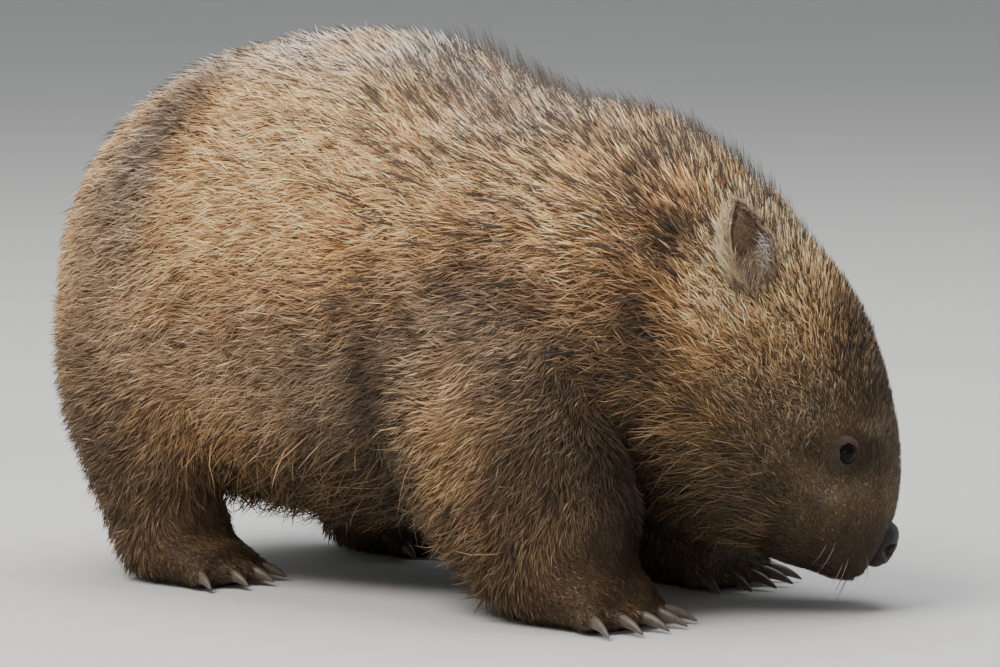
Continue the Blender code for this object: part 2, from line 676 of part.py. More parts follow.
def hide_lie(at, angle):
    """The way the hair lies on the hide: back along it and down its sides, and straight down over the rump."""
    back = hide_points(at - 0.05, angle) - hide_points(at + 0.05, angle)
    back /= np.linalg.norm(back)
    over_rump = 1 - smooth_step((at - 1.2) / 1.6)
    back = back * (1 - over_rump) + np.array([-1.0, 0.0, 0.0]) * over_rump
    return back - np.array([0.0, 0.0, HAIR_FALL * (1 + over_rump)])


def hide_roots(start, end, rows, across, size, draw, arc=(0.0, 180.0)):
    """Lock roots in staggered rows over a length of the hide, on both sides between two angles from the back."""
    roots = []
    low, high = (math.radians(limit) for limit in arc)
    for row, at in enumerate(even_places(start, end, rows)):
        for side in (-1, 1):
            for place in (np.arange(across) + 0.25 + 0.5 * (row % 2)) / across:
                angle = side * (low + (high - low) * place) + draw.normal(0, 0.02)
                spread = draw.uniform(0.88, 1.12, 3)
                place_at = at + draw.normal(0, 0.05)
                roots.append((hide_points(place_at, angle), hide_lie(place_at, angle), np.multiply(size, spread)))
    return roots


def leg_roots(stations, side, levels, around, draw):
    """Lock roots in staggered rows round a leg's rear, outer and front sides.

    The hair lies down the leg, more to the back at its rear, where it makes a fringe, and more ahead at its front."""
    roots = []
    for level, ring in enumerate(leg_rings(stations, *levels, side)):
        for place in 0.44 + 0.62 * (np.arange(around) + 0.5 * (level % 2)) / around:
            index = int(round(place * len(ring))) % len(ring)
            ahead = math.cos(2 * math.pi * place)
            way = np.array([0.45 * ahead - 0.28, 0.0, -0.90])
            size = FRINGE_LOCK if ahead < -0.5 else LEG_LOCK
            roots.append((ring[index], way, np.multiply(size, draw.uniform(0.88, 1.12, 3))))
    return roots


def centre_over_origin():
    """Moves the whole animal so that its bounding box is centred over the origin."""
    nodes = [made for made in bpy.data.objects if made.type == "MESH"]
    corners = np.array([vert.co[:] for made in nodes for vert in made.data.vertices])
    middle = (corners.min(0) + corners.max(0)) / 2
    shift = Matrix.Translation((-middle[0], -middle[1], 0.0))
    for made in nodes:
        made.data.transform(shift)


def coat(torso, neck, head, legs, hide_surface):
    """Grows the locks of every node that has a long coat, each clear of all the other nodes and their locks.

    Those of the head lie over the neck, and those of the neck over the trunk."""
    draw = np.random.default_rng(SEED)
    roots = {
        head: hide_roots(NECK_FRONT + 0.25, 11.2, 3, 2, CREST_LOCK, draw, (0, 38))
        + hide_roots(NECK_FRONT + 0.25, 11.7, 3, 5, CHEEK_LOCK, draw, (58, 165)),
        neck: hide_roots(NECK_REAR + 0.25, NECK_FRONT - 0.2, 3, 1, CREST_LOCK, draw, (0, 20))
        + hide_roots(NECK_REAR + 0.25, NECK_FRONT - 0.2, 2, 6, NAPE_LOCK, draw, (12, 130)),
        torso: hide_roots(5.2, NECK_REAR - 0.2, 4, 1, CREST_LOCK, draw, (0, 20))
        + hide_roots(0.9, NECK_REAR - 0.2, 8, 7, BODY_LOCK, draw, (6, 126))
        + hide_roots(1.4, 6.4, 5, 2, BELLY_LOCK, draw, (126, 176)),
    }
    for (_, side), (leg, stations) in legs.items():
        roots[leg] = leg_roots(stations, side, (1.2, 4.05, 5), 4, draw)
    cutters = {made: grown(made) for made in list(bpy.data.objects)}
    walls = {made: surface_of(cutter) for made, cutter in cutters.items()}
    for cutter in cutters.values():
        bpy.data.objects.remove(cutter)
    laid = []
    for made, wanted in roots.items():
        surface = hide_surface if made in (torso, neck, head) else surface_of(made)
        others = [wall for other, wall in walls.items() if other is not made]
        laid += grow_locks(made, surface, wanted, others + laid)


def main():
    for old in list(bpy.data.objects):
        bpy.data.objects.remove(old)
    trunk_places = even_places(0, NECK_REAR, TRUNK_RINGS)
    neck_places = even_places(NECK_REAR, NECK_FRONT, NECK_RINGS)
    head_places = even_places(NECK_FRONT, LAST, HEAD_RINGS)
    torso = hide_part("torso", trunk_places, COAT)
    neck = hide_part("neck", neck_places, COAT)
    head = hide_part("head", head_places, FACE)
    whole = hide_part("hide", np.concatenate([trunk_places, neck_places[1:], head_places[1:]]), COAT)
    hide_surface = surface_of(whole)
    bpy.data.objects.remove(whole)
    hide = [grown(length) for length in (torso, neck, head)]
    add_features(head)
    nose(head)
    legs = {}
    for side in (-1, 1):
        combine(ear(side), copies(hide), "DIFFERENCE")
        fore, hind = (-LEFT_FORE_BACK, LEFT_HIND_AHEAD) if side > 0 else (0.0, 0.0)
        legs["fore", side] = leg_and_paw("fore", FORE_LEG, FORE_TOES, FORE_CLAW, side, hide, fore)
        legs["hind", side] = leg_and_paw("hind", HIND_LEG, HIND_TOES, HIND_CLAW, side, hide, hind)
    combine(tail(), copies(hide), "DIFFERENCE")
    for cutter in hide:
        bpy.data.objects.remove(cutter)
    coat(torso, neck, head, legs, hide_surface)
    centre_over_origin()


main()
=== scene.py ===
"""A bare-nosed wombat grazing, life size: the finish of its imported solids, laid out as an add-on.

One skin stands for all the flesh, with its ears, lids and lips. The eyes, the nose pad and the claws are pieces
of their own. The coat is solid hairs that root on the skin, in pieces by the part of the body that they grow on.
The skin repeats the solids' named sizes, set deeper by the thickness of the coat.
"""

import math
from collections import namedtuple
from functools import partial

import bpy
import numpy as np
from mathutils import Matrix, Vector


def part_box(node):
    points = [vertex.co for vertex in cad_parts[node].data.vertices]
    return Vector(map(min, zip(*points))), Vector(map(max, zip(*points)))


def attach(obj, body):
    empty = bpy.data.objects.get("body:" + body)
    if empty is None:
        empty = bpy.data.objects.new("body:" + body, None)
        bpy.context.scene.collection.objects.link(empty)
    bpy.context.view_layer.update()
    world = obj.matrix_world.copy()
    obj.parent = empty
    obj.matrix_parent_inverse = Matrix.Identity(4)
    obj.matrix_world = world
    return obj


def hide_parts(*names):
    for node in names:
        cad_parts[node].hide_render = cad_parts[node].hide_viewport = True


bl_info = {
    "name": "Grazing wombat",
    "version": (1, 0, 0),
    "blender": (4, 5, 0),
    "location": "View3D > Sidebar > Wombat",
    "description": "Skin, eyes, nose, claws and coat of a life-size wombat model",
    "category": "Add Mesh",
}

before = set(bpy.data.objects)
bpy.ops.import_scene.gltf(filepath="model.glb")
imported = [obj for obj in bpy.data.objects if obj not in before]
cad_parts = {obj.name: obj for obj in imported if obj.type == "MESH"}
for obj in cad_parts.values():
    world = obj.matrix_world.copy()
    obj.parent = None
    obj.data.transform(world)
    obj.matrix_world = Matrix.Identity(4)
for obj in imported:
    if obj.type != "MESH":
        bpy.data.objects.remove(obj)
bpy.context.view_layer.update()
MM = 0.001

# The body, as the solids have it: back and belly lines in the side view with the head straight ahead.
Station = namedtuple("Station", "back belly half_width squareness")
STATIONS = (
    Station((-0.318, 0.316), (-0.311, 0.108), 0.144, 2.10),  # rump
    Station((-0.257, 0.352), (-0.247, 0.072), 0.157, 2.15),
    Station((-0.180, 0.379), (-0.180, 0.053), 0.163, 2.20),  # hips
    Station((-0.092, 0.394), (-0.100, 0.044), 0.165, 2.20),
    Station((-0.020, 0.388), (-0.030, 0.046), 0.162, 2.20),  # barrel
    Station((0.045, 0.362), (0.045, 0.056), 0.154, 2.20),
    Station((0.102, 0.346), (0.105, 0.070), 0.144, 2.20),  # shoulders
    Station((0.154, 0.341), (0.145, 0.082), 0.131, 2.20),
    Station((0.200, 0.323), (0.170, 0.085), 0.120, 2.20),  # neck
    Station((0.239, 0.293), (0.184, 0.076), 0.112, 2.25),
    Station((0.272, 0.260), (0.196, 0.068), 0.106, 2.30),  # crown
    Station((0.305, 0.222), (0.212, 0.056), 0.098, 2.35),
    Station((0.328, 0.177), (0.232, 0.045), 0.086, 2.40),  # brow
    Station((0.340, 0.130), (0.255, 0.034), 0.070, 2.45),  # eyes
    Station((0.343, 0.092), (0.277, 0.027), 0.055, 2.45),
    Station((0.338, 0.062), (0.297, 0.020), 0.047, 2.40),  # muzzle
    Station((0.329, 0.040), (0.312, 0.018), 0.040, 2.30),  # nose
)
LAST = len(STATIONS) - 1
CORE_DEPTH = MM * np.array([7, 7, 7, 7, 7, 7, 7, 7, 6.5, 6, 5, 3.5, 1.5, 0.5, 0, 0, 0])  # of the solids
SKIN_DEPTH = MM * np.array([9, 9, 9, 9, 9, 9, 9, 9, 9, 8.2, 7, 5.5, 3.6, 2.2, 1.8, 1.4, 1.0])
RUMP_ROUNDING, NOSE_ROUNDING = 2.0, 1.2
SAG = 0.10
TURN_PIVOT_X, TURN_START, TURN_END = 0.165, 5.0, 12.0
HEAD_TURN = math.radians(33)

LegStation = namedtuple("LegStation", "centre half_length half_width tip")
FORE_LEG = (
    LegStation((0.098, -0.066, 0.262), 0.050, 0.040, 0),
    LegStation((0.104, -0.096, 0.205), 0.080, 0.052, 2),
    LegStation((0.117, -0.112, 0.150), 0.088, 0.056, 8),
    LegStation((0.143, -0.114, 0.104), 0.087, 0.055, 18),  # elbow
    LegStation((0.168, -0.111, 0.068), 0.074, 0.051, 30),
    LegStation((0.187, -0.108, 0.042), 0.054, 0.047, 45),  # wrist
    LegStation((0.206, -0.107, 0.024), 0.031, 0.045, 66),
    LegStation((0.229, -0.107, 0.015), 0.019, 0.042, 88),
)
HIND_LEG = (
    LegStation((-0.190, -0.060, 0.262), 0.060, 0.050, 0),
    LegStation((-0.186, -0.096, 0.200), 0.086, 0.060, 0),
    LegStation((-0.184, -0.108, 0.140), 0.082, 0.060, 4),
    LegStation((-0.179, -0.112, 0.090), 0.061, 0.052, 10),
    LegStation((-0.175, -0.110, 0.054), 0.047, 0.043, 24),
    LegStation((-0.165, -0.108, 0.029), 0.034, 0.040, 45),  # ankle
    LegStation((-0.145, -0.107, 0.018), 0.022, 0.040, 72),
    LegStation((-0.122, -0.107, 0.012), 0.016, 0.036, 88),
)
Leg = namedtuple("Leg", "name stations side ahead toes claw")
LEGS = (
    Leg("fore_R", FORE_LEG, -1, 0.0, 5, 0.023),
    Leg("fore_L", FORE_LEG, 1, -0.064, 5, 0.023),
    Leg("hind_R", HIND_LEG, -1, 0.0, 4, 0.017),
    Leg("hind_L", HIND_LEG, 1, 0.012, 4, 0.017),
)
ANKLE = 5.0
LEG_SKIN_DEPTH, PAW_SKIN_DEPTH = 8 * MM, 1.2 * MM
TOE_LENGTH, TOE_RADIUS, TOE_SPLAY = 0.017, 0.0098, math.radians(26)
CLAW_RADIUS, CLAW_TIP, CLAW_DROP = 0.0046, 0.0010, math.radians(30)

EYE_AT = (0.3085, 0.1145)  # in the side view
EYE_RADIUS, EYE_DEPTH = 0.0085, 0.0050
EAR_BASE = (0.256, 0.240)
EAR_LENGTH, EAR_WIDTH, EAR_WALL = 0.062, 0.0215, 0.0034
EAR_ROOT_DEPTH, EAR_ROOT_OUT = 0.011, 0.008
EAR_LIFT = math.radians(40)
EAR_BACK = {-1: math.radians(32), 1: math.radians(66)}
NOSE_AT = (0.3275, 0.0445)
NOSE_SIZE = (0.0115, 0.0225, 0.0165)  # out, half width, half height
MOUTH_FROM, MOUTH_TO, MOUTH_ANGLE = 13.7, 15.82, math.radians(128)

SIDES = {-1: "R", 1: "L"}
UP = np.array([0.0, 0.0, 1.0])
FLESH = (
    ["torso", "neck", "head", "tail"]
    + [f"{part}_{letter}" for letter in "LR" for part in ("ear", "fore_leg", "hind_leg", "fore_paw", "hind_paw")]
)
CLAW_NODES = [f"{end}_claw_{s}{i + 1}" for end, n in (("fore", 5), ("hind", 4)) for s in "LR" for i in range(n)]


# Skin
LID_HALF = (6.9 * MM, 6.7 * MM)  # half the opening of the lids, along the head and across
EYE_PATCH, MOUTH_PATCH, LIP_PATCH = 0.024, 0.075, 0.011  # how far the finer skin reaches
SKIN_SHARE = (0.52, 0.40, 0.27)  # of the coat's colour, on the skin under it
LID_PINK = (0.17, 0.105, 0.085)
EAR_GLOW = 6.5  # how much paler the ears' skin is than the lids

# Coat
HIDE_LENGTHS = (  # each with its first and its last place along the stations
    ("rump", 0.03, 1.75),
    ("loin", 1.75, 3.3),
    ("barrel", 3.3, 5.1),
    ("shoulder", 5.1, 7.6),
    ("neck", 7.6, 10.2),
    ("head", 10.2, 15.9),
)
LENGTH_BY_STATION = (1.0, 1.0, 1.0, 1.0, 1.0, 1.0, 1.05, 1.1, 1.1, 1.0, 0.85, 0.66, 0.46, 0.34, 0.27, 0.22, 0.18)
FLANK_GUARDS, SPINE_GUARDS, RUFF_HAIRS, BELLY_HAIRS, EAR_RUFF_HAIRS = 5200, 2400, 2700, 2500, 900  # a side
TUFTS, TUFT_HAIRS = 950, 3  # bristles on each side of the nape
TOE_HAIRS, PAW_HAIRS = 520, 2200
EAR_BACK_HAIRS, EAR_CUP_HAIRS, EAR_TUFT_HAIRS, WHITE_HAIRS = 5200, 3600, 950, 130
LIP_WHISKERS, BROW_WHISKERS = 44, 10
COAT_SEED, LONG_HAIR_SEED, FACE_SEED = 29, 31, 37
ROOT_SHARE, MIDDLE_SHARE, TIP_SHARE = (0.20, 0.13, 0.08), (0.86, 0.68, 0.50), (1.08, 1.05, 1.04)  # of a hair's tone
BLACK_TIP = np.array([0.016, 0.0145, 0.0155])
PATCH = 0.003  # size of a hair's patch on the coat's own unwrap
MARKING_EDGE = 1.4  # higher is a harder edge
Groom = namedtuple("Groom", "skin sizes colours draw")

# Stage
CAMERA_AZIMUTH, CAMERA_LIFT = math.radians(38), math.radians(5.5)
CAMERA_AWAY, CAMERA_LENS, SENSOR_WIDTH = 4.2, 214.8, 36.0
CAMERA_TARGET = (0.040, 0.0, 0.181)
LAMP_TARGET = Vector((0.0, 0.0, 0.2))
LAMPS = (  # name, place, energy, size and colour
    ("key", (-0.35, -2.5, 3.5), 180.0, 2.2, (1.0, 0.97, 0.92)),
    ("overhead", (-0.4, 0.8, 3.8), 135.0, 3.0, (0.95, 0.98, 1.0)),
    ("fill", (3.2, -3.0, 1.2), 16.0, 1.2, (1.0, 0.98, 0.95)),
)
SKY_COLOUR, SKY_STRENGTH = (0.86, 0.89, 0.93, 1), 0.44
FLOOR_HALF, FLOOR_COLOURS = 60, ((0.60, 0.59, 0.57), (0.64, 0.63, 0.61))


# Curves and surfaces


def unit(vectors):
    """Vectors at length 1."""
    return vectors / np.maximum(np.linalg.norm(vectors, axis=-1, keepdims=True), 1e-12)


def through(values, at):
    """A smooth curve through the rows of values, one to each whole number: cubics with central slopes."""
    values = np.asarray(values, float)
    at = np.clip(np.atleast_1d(np.asarray(at, float)), 0, len(values) - 1)
    slope = np.gradient(values, axis=0)
    low = np.minimum(at.astype(int), len(values) - 2)
    u = (at - low).reshape((-1,) + (1,) * (values.ndim - 1))
    a, b, ma, mb = values[low], values[low + 1], slope[low], slope[low + 1]
    return (
        a * (2 * u**3 - 3 * u**2 + 1)
        + ma * (u**3 - 2 * u**2 + u)
        + b * (3 * u**2 - 2 * u**3)
        + mb * (u**3 - u**2)
    )


def measure(stations, field, at):
    """One of the stations' measures, smoothly, at places along them."""
    return through([getattr(station, field) for station in stations], at)


def smooth_step(value, low=0.0, high=1.0):
    """From 0 at low to 1 at high, flat at both ends."""
    value = np.clip((value - low) / (high - low), 0, 1)
    return value * value * (3 - 2 * value)


def turned(points, angle):
    """Points turned to the animal's left by the angles, about the upright line through the neck's pivot."""
    x, y = points[..., 0] - TURN_PIVOT_X, points[..., 1]
    out = points.copy()
    out[..., 0] = TURN_PIVOT_X + x * np.cos(angle) - y * np.sin(angle)
    out[..., 1] = x * np.sin(angle) + y * np.cos(angle)
    return out


def turn_at(at):
    """How far the neck and the head are turned at places along the stations."""
    return HEAD_TURN * smooth_step(np.asarray(at), TURN_START, TURN_END)


def power(value, exponent):
    """A power that keeps the sign."""
    return np.sign(value) * np.abs(value) ** exponent


def hide_points(at, angle, depth=SKIN_DEPTH):
    """The hide, depth under the coat's tips, at places along its stations and angles round it.

    Angle 0 is the back, 90 degrees the right side and 180 the belly. A section is a superellipse between the
    back line and the belly line, widest a little below its middle: height cos^(2/n) less a share of side
    squared, side sin^(2/n). Both ends close to a pole."""
    at, angle = np.broadcast_arrays(np.asarray(at, float), np.asarray(angle, float))
    shape, flat, about = at.shape, at.ravel(), angle.ravel()
    back, belly, half_width, square = (measure(STATIONS, field, flat) for field in Station._fields)
    rump = 1 - np.clip(1 - flat / RUMP_ROUNDING, 0, 1) ** 2.3
    nose = 1 - np.clip(1 - (LAST - flat) / NOSE_ROUNDING, 0, 1) ** 3.0
    closing = np.clip(rump, 0, 1) ** (1 / 2.3) * np.clip(nose, 0, 1) ** (1 / 3.0)
    under = through(depth, flat)
    side = power(np.sin(about), 2 / square)
    up = (power(np.cos(about), 2 / square) - SAG * side**2) * closing
    side = side * closing * (half_width - under)
    middle, reach = (back + belly) / 2, (back - belly) / 2
    middle[:, 0] += under * np.clip(1 - flat / RUMP_ROUNDING, 0, 1)
    reach *= (1 - under / np.linalg.norm(reach, axis=1))[:, None]
    points = np.stack([middle[:, 0] + reach[:, 0] * up, -side, middle[:, 1] + reach[:, 1] * up], axis=1)
    return turned(points, turn_at(flat)).reshape(shape + (3,))


def normals_of(surface, u, v, step=1e-3):
    """Unit normals of a surface function of two parameters, from how its points change with each."""
    along = surface(u + step, v) - surface(u - step, v)
    about = surface(u, v + step) - surface(u, v - step)
    return unit(np.cross(about, along))


def run_along(surface, fine, about):
    """The distance along a surface at fine places, as the mean over the angles about it."""
    lines = surface(fine[:, None], about[None, :])
    return np.concatenate([[0], np.cumsum(np.linalg.norm(np.diff(lines, axis=0), axis=-1).mean(1))])


def even_places(start, end, count):
    """Places along the stations at even distances over the back, the belly and the sides together."""
    fine = np.linspace(start, end, 600)
    run = run_along(hide_points, fine, np.radians([0, 90, 180, 270]))
    return np.interp(np.linspace(0, run[-1], count), run, fine), run[-1]


def place_on_hide(side_view, side):
    """The place and the angle on the hide that a point of the side view lies over."""
    at, angle = np.meshgrid(np.linspace(6, LAST, 300), np.linspace(0.02, math.pi - 0.02, 240), indexing="ij")
    at, angle = at.ravel(), angle.ravel()
    back, belly, _, square = (measure(STATIONS, field, at) for field in Station._fields)
    up = power(np.cos(angle), 2 / square) - SAG * power(np.sin(angle), 2 / square) ** 2
    flat = (back + belly) / 2 + (back - belly) / 2 * up[:, None]
    best = np.argmin(((flat - np.asarray(side_view)) ** 2).sum(1))
    return at[best], -side * angle[best]


def core_points(at, angle):
    """The surface of the solids."""
    return hide_points(at, angle, CORE_DEPTH)


def head_frame(at, angle):
    """A point of the solid head with its outward normal, the way to the nose and the way round the head."""
    point, normal = core_points(at, angle), normals_of(core_points, at, angle)
    ahead = core_points(at + 0.05, angle) - point
    ahead = unit(ahead - normal * (ahead @ normal))
    return point, normal, ahead, np.cross(normal, ahead)


EYES = {side: head_frame(*place_on_hide(EYE_AT, side)) for side in SIDES}
EYE_CENTRES = {side: eye[0] - eye[1] * EYE_DEPTH for side, eye in EYES.items()}
PACKED_EYES = sum(np.array(corner) for side in "LR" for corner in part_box(f"eye_{side}")) / 4
SHIFT = (PACKED_EYES - (EYE_CENTRES[-1] + EYE_CENTRES[1]) / 2) * (1, 1, 0)  # the solids are centred over the origin


def straightened(points):
    """Where points would be with the head straight ahead, and their places along the stations.

    The place is that of the station whose back and belly line passes nearest in the side view, and the turn
    there is taken back; four rounds are enough for the two to agree."""
    places = np.linspace(0, LAST, 81)
    back, belly = (measure(STATIONS, field, places) for field in ("back", "belly"))
    line = unit(back - belly)
    at = np.zeros(len(points))
    straight = points - SHIFT
    for _ in range(4):
        straight = turned(points - SHIFT, -turn_at(at) if at.any() else at)
        off = (straight[:, None, 0] - belly[:, 0]) * line[:, 1] - (straight[:, None, 2] - belly[:, 1]) * line[:, 0]
        at = places[np.argmin(np.abs(off), axis=1)]
    return straight, at


def leg_points(leg, at, turn, depth=None):
    """A leg's surface: ellipses round its centre line, with their fore-and-aft axis tipped as the stations say."""
    at, turn = np.broadcast_arrays(np.asarray(at, float), np.asarray(turn, float))
    shape, flat, about = at.shape, at.ravel(), turn.ravel()[:, None]
    centre = measure(leg.stations, "centre", flat)
    centre[:, 0] += through(np.linspace(0, 1, len(leg.stations)) ** 0.7 * leg.ahead, flat)
    tip = np.radians(measure(leg.stations, "tip", flat))
    under = depth
    if depth is None:
        under = PAW_SKIN_DEPTH + (LEG_SKIN_DEPTH - PAW_SKIN_DEPTH) * (1 - smooth_step(flat - ANKLE + 1.2))
    length, width = ((measure(leg.stations, field, flat) - under)[:, None] for field in ("half_length", "half_width"))
    fore = np.stack([np.cos(tip), np.zeros_like(tip), np.sin(tip)], axis=1)
    points = centre + length * fore * np.cos(about) + width * np.array([0, 1, 0]) * np.sin(about)
    return (points * (1, -leg.side, 1)).reshape(shape + (3,))


def toe_bases(leg):
    """Where each toe of a paw starts, and which way it points."""
    end = np.array(leg.stations[-1].centre) + (leg.ahead, 0, 0)
    width = leg.stations[-1].half_width
    share = np.linspace(-1, 1, leg.toes)
    splay = share * TOE_SPLAY
    ahead = np.stack([np.cos(splay), np.sin(splay), np.zeros_like(splay)], axis=1)
    offset = np.stack(
        [0.004 - 0.010 * share**2, share * (width - TOE_RADIUS * 0.7), 0 * share + TOE_RADIUS * 1.02 - end[2]], 1
    )
    flip = np.array([1, -leg.side, 1])
    return (end + offset) * flip, ahead * flip


def ear_axes(side):
    """An ear's root, its long axis, the way it faces and the way across it."""
    point, normal, _, _ = head_frame(*place_on_hide(EAR_BASE, side))
    back = EAR_BACK[side]
    rise = np.array([-math.sin(back) * math.cos(HEAD_TURN), -math.sin(back) * math.sin(HEAD_TURN), math.cos(back)])
    rise = unit(rise - normal * (rise @ normal))
    axis = rise * math.cos(EAR_LIFT) + normal * math.sin(EAR_LIFT)
    facing = normal * math.cos(EAR_LIFT) - rise * math.sin(EAR_LIFT)
    return point - normal * EAR_ROOT_DEPTH + facing * EAR_ROOT_OUT, axis, facing, np.cross(axis, facing)


def ear_points(side, lift, about, wall=0.0):
    """An ear's shell: at each lift along its axis, an arc that is open on the side it faces.

    About runs from -1 to 1 round the arc. The arc's width grows and then closes to the tip like a leaf's."""
    root, axis, facing, beside = ear_axes(side)
    lift, about = np.broadcast_arrays(np.asarray(lift, float), np.asarray(about, float))
    width = EAR_WIDTH * (0.78 + 0.9 * lift - 1.45 * lift**2 - 0.20 * np.clip(lift, 0, 1) ** 7)
    open_half = np.radians(52 + 34 * smooth_step(lift * 1.2))
    turn = math.pi + about * (math.pi - open_half)
    radius = np.maximum(width - wall * (1.2 - 0.75 * lift), 0.0)[..., None]
    centre = root + axis * (EAR_LENGTH * lift)[..., None] - facing * (EAR_WIDTH * 0.25 * lift**2)[..., None]
    centre = centre - axis * (wall * 0.8 * smooth_step(lift, 0.8, 1.0))[..., None]
    return centre + radius * (0.82 * np.cos(turn)[..., None] * facing + np.sin(turn)[..., None] * beside)


def mouth_line(steps=40):
    """The line of the mouth: back along one side of the muzzle, round its front and back along the other."""
    half = np.linspace(MOUTH_FROM, MOUTH_TO, steps)
    front = np.linspace(MOUTH_ANGLE, 2 * math.pi - MOUTH_ANGLE, steps)[1:-1]
    at = np.concatenate([half, np.full(len(front), MOUTH_TO), half[::-1]])
    angle = np.concatenate([np.full(steps, MOUTH_ANGLE), front, np.full(steps, 2 * math.pi - MOUTH_ANGLE)])
    return core_points(at, angle)


def ripple(points, size, seed):
    """Smooth noise from -1 to 1 in space: a sum of eight sine waves of about that size in drawn directions."""
    draw = np.random.default_rng(seed)
    ways = unit(draw.normal(size=(8, 3))) * draw.uniform(0.7, 1.5, (8, 1)) * 2 * math.pi / size
    return np.sin(points @ ways.T + draw.uniform(0, 2 * math.pi, 8)).sum(-1) / 4


# Meshes


def mesh_piece(name, points, faces, material, shift=True):
    """A smooth mesh from whole arrays: points, and faces as arrays of equal-sided faces."""
    mesh = bpy.data.meshes.new(name)
    points = np.asarray(points, np.float64).reshape(-1, 3)
    if shift:
        points = points + SHIFT
    faces = [np.asarray(group, np.int32) for group in faces if len(group)]
    sizes = np.concatenate([np.full(len(group), group.shape[1]) for group in faces])
    corners = np.concatenate([group.ravel() for group in faces])
    mesh.vertices.add(len(points))
    mesh.vertices.foreach_set("co", points.astype(np.float32).ravel())
    mesh.loops.add(len(corners))
    mesh.loops.foreach_set("vertex_index", corners)
    mesh.polygons.add(len(sizes))
    mesh.polygons.foreach_set("loop_start", np.concatenate([[0], np.cumsum(sizes)[:-1]]).astype(np.int32))
    mesh.update(calc_edges=True)
    mesh.shade_smooth()
    if material:
        mesh.materials.append(material)
    made = bpy.data.objects.new(name, mesh)
    bpy.context.scene.collection.objects.link(made)
    return made


def grid_faces(rows, columns, closed=True, first=0):
    """Quads over a grid of points; closed joins each row's end to its start."""
    row, column = np.meshgrid(np.arange(rows - 1), np.arange(columns if closed else columns - 1), indexing="ij")
    row, column = row.ravel(), column.ravel()
    after = (column + 1) % columns
    return first + np.stack(
        [row * columns + column, row * columns + after, (row + 1) * columns + after, (row + 1) * columns + column], 1
    )


def closed_loft(rings):
    """Points and faces of a closed tube over rings, an array of rows, its ends closed by fans to their middles."""
    rows, columns = rings.shape[:2]
    points = np.concatenate([rings.reshape(-1, 3), rings[:1].mean(1), rings[-1:].mean(1)])
    near = np.arange(columns)
    after = (near + 1) % columns
    start, end = rows * columns, rows * columns + 1
    first = np.stack([np.full(columns, start), after, near], 1)
    last = np.stack([np.full(columns, end), near, after], 1) + np.array([0, 1, 1]) * (rows - 1) * columns
    return points, [grid_faces(rows, columns), np.concatenate([first, last])]


def ball_points(centre, pole, second, third, around=32, rings=20):
    """Rings of an ellipsoid from its three half axes as vectors, the first being its pole."""
    lift = np.linspace(0.02, math.pi - 0.02, rings)[:, None, None]
    turn = np.linspace(0, 2 * math.pi, around, endpoint=False)[None, :, None]
    return centre + pole * np.cos(lift) + (second * np.cos(turn) + third * np.sin(turn)) * np.sin(lift)


def outwards(made):
    """Turns a closed mesh's faces outwards, by the sign of its volume."""
    mesh = made.data
    mesh.calc_loop_triangles()
    if np.linalg.det(places_of(mesh)[read(mesh.loop_triangles, "vertices", 3)]).sum() < 0:
        mesh.flip_normals()
    return made


def loft_piece(name, rings, material):
    """A closed tube over rings as an object, its faces outwards."""
    points, faces = closed_loft(np.asarray(rings))
    return outwards(mesh_piece(name, points, faces, material))


def joined(name, pieces):
    """Several objects made one, under a new name."""
    for other in bpy.context.selected_objects:
        other.select_set(False)
    for made in pieces:
        made.select_set(True)
    bpy.context.view_layer.objects.active = pieces[0]
    bpy.ops.object.join()
    pieces[0].name = name
    pieces[0].data.name = name
    return pieces[0]


def applied(made):
    """Bakes an object's modifiers into its mesh."""
    graph = bpy.context.evaluated_depsgraph_get()
    result = bpy.data.meshes.new_from_object(made.evaluated_get(graph))
    made.modifiers.clear()
    made.data = result
    return made


def read(items, name, width=1, kind=np.int32):
    """One property of all the items, as rows of width numbers."""
    flat = np.empty(len(items) * width, kind)
    items.foreach_get(name, flat)
    return flat.reshape(-1, width) if width > 1 else flat


def places_of(mesh):
    """Where the vertices are."""
    return read(mesh.vertices, "co", 3, np.float32).astype(float)


def normals_in(mesh):
    """The vertices' normals."""
    return read(mesh.vertex_normals, "vector", 3, np.float32).astype(float)


def set_tone(mesh, colours):
    """Stores a colour for each vertex in the attribute that the materials read."""
    attribute = mesh.color_attributes.get("tone") or mesh.color_attributes.new("tone", "FLOAT_COLOR", "POINT")
    values = np.ones((len(colours), 4), np.float32)
    values[:, :3] = np.clip(colours, 0, 1)
    attribute.data.foreach_set("color", values.ravel())


def refine(made, chosen, cuts):
    """Divides the faces whose vertices are all chosen into cuts + 1 parts each way."""
    mesh = made.data
    mesh.vertices.foreach_set("select", chosen)
    mesh.edges.foreach_set("select", chosen[read(mesh.edges, "vertices", 2)].all(1))
    starts = np.concatenate([[0], np.cumsum(read(mesh.polygons, "loop_total"))[:-1]])
    corners = read(mesh.loops, "vertex_index")
    mesh.polygons.foreach_set("select", np.logical_and.reduceat(chosen[corners], starts))
    bpy.context.view_layer.objects.active = made
    bpy.context.tool_settings.mesh_select_mode = (True, False, False)
    bpy.ops.object.mode_set(mode="EDIT")
    bpy.ops.mesh.subdivide(number_cuts=cuts, smoothness=0)
    bpy.ops.object.mode_set(mode="OBJECT")


# Materials


def node_material(name, roughness, specular):
    """A Principled material, with its nodes' tree, shader and an input of Object coordinates."""
    made = bpy.data.materials.new(name)
    made.use_nodes = True
    tree = made.node_tree
    shader = tree.nodes["Principled BSDF"]
    shader.inputs["Roughness"].default_value = roughness
    shader.inputs["Specular IOR Level"].default_value = specular
    place = tree.nodes.new("ShaderNodeTexCoord").outputs["Object"]
    return made, tree, shader, place


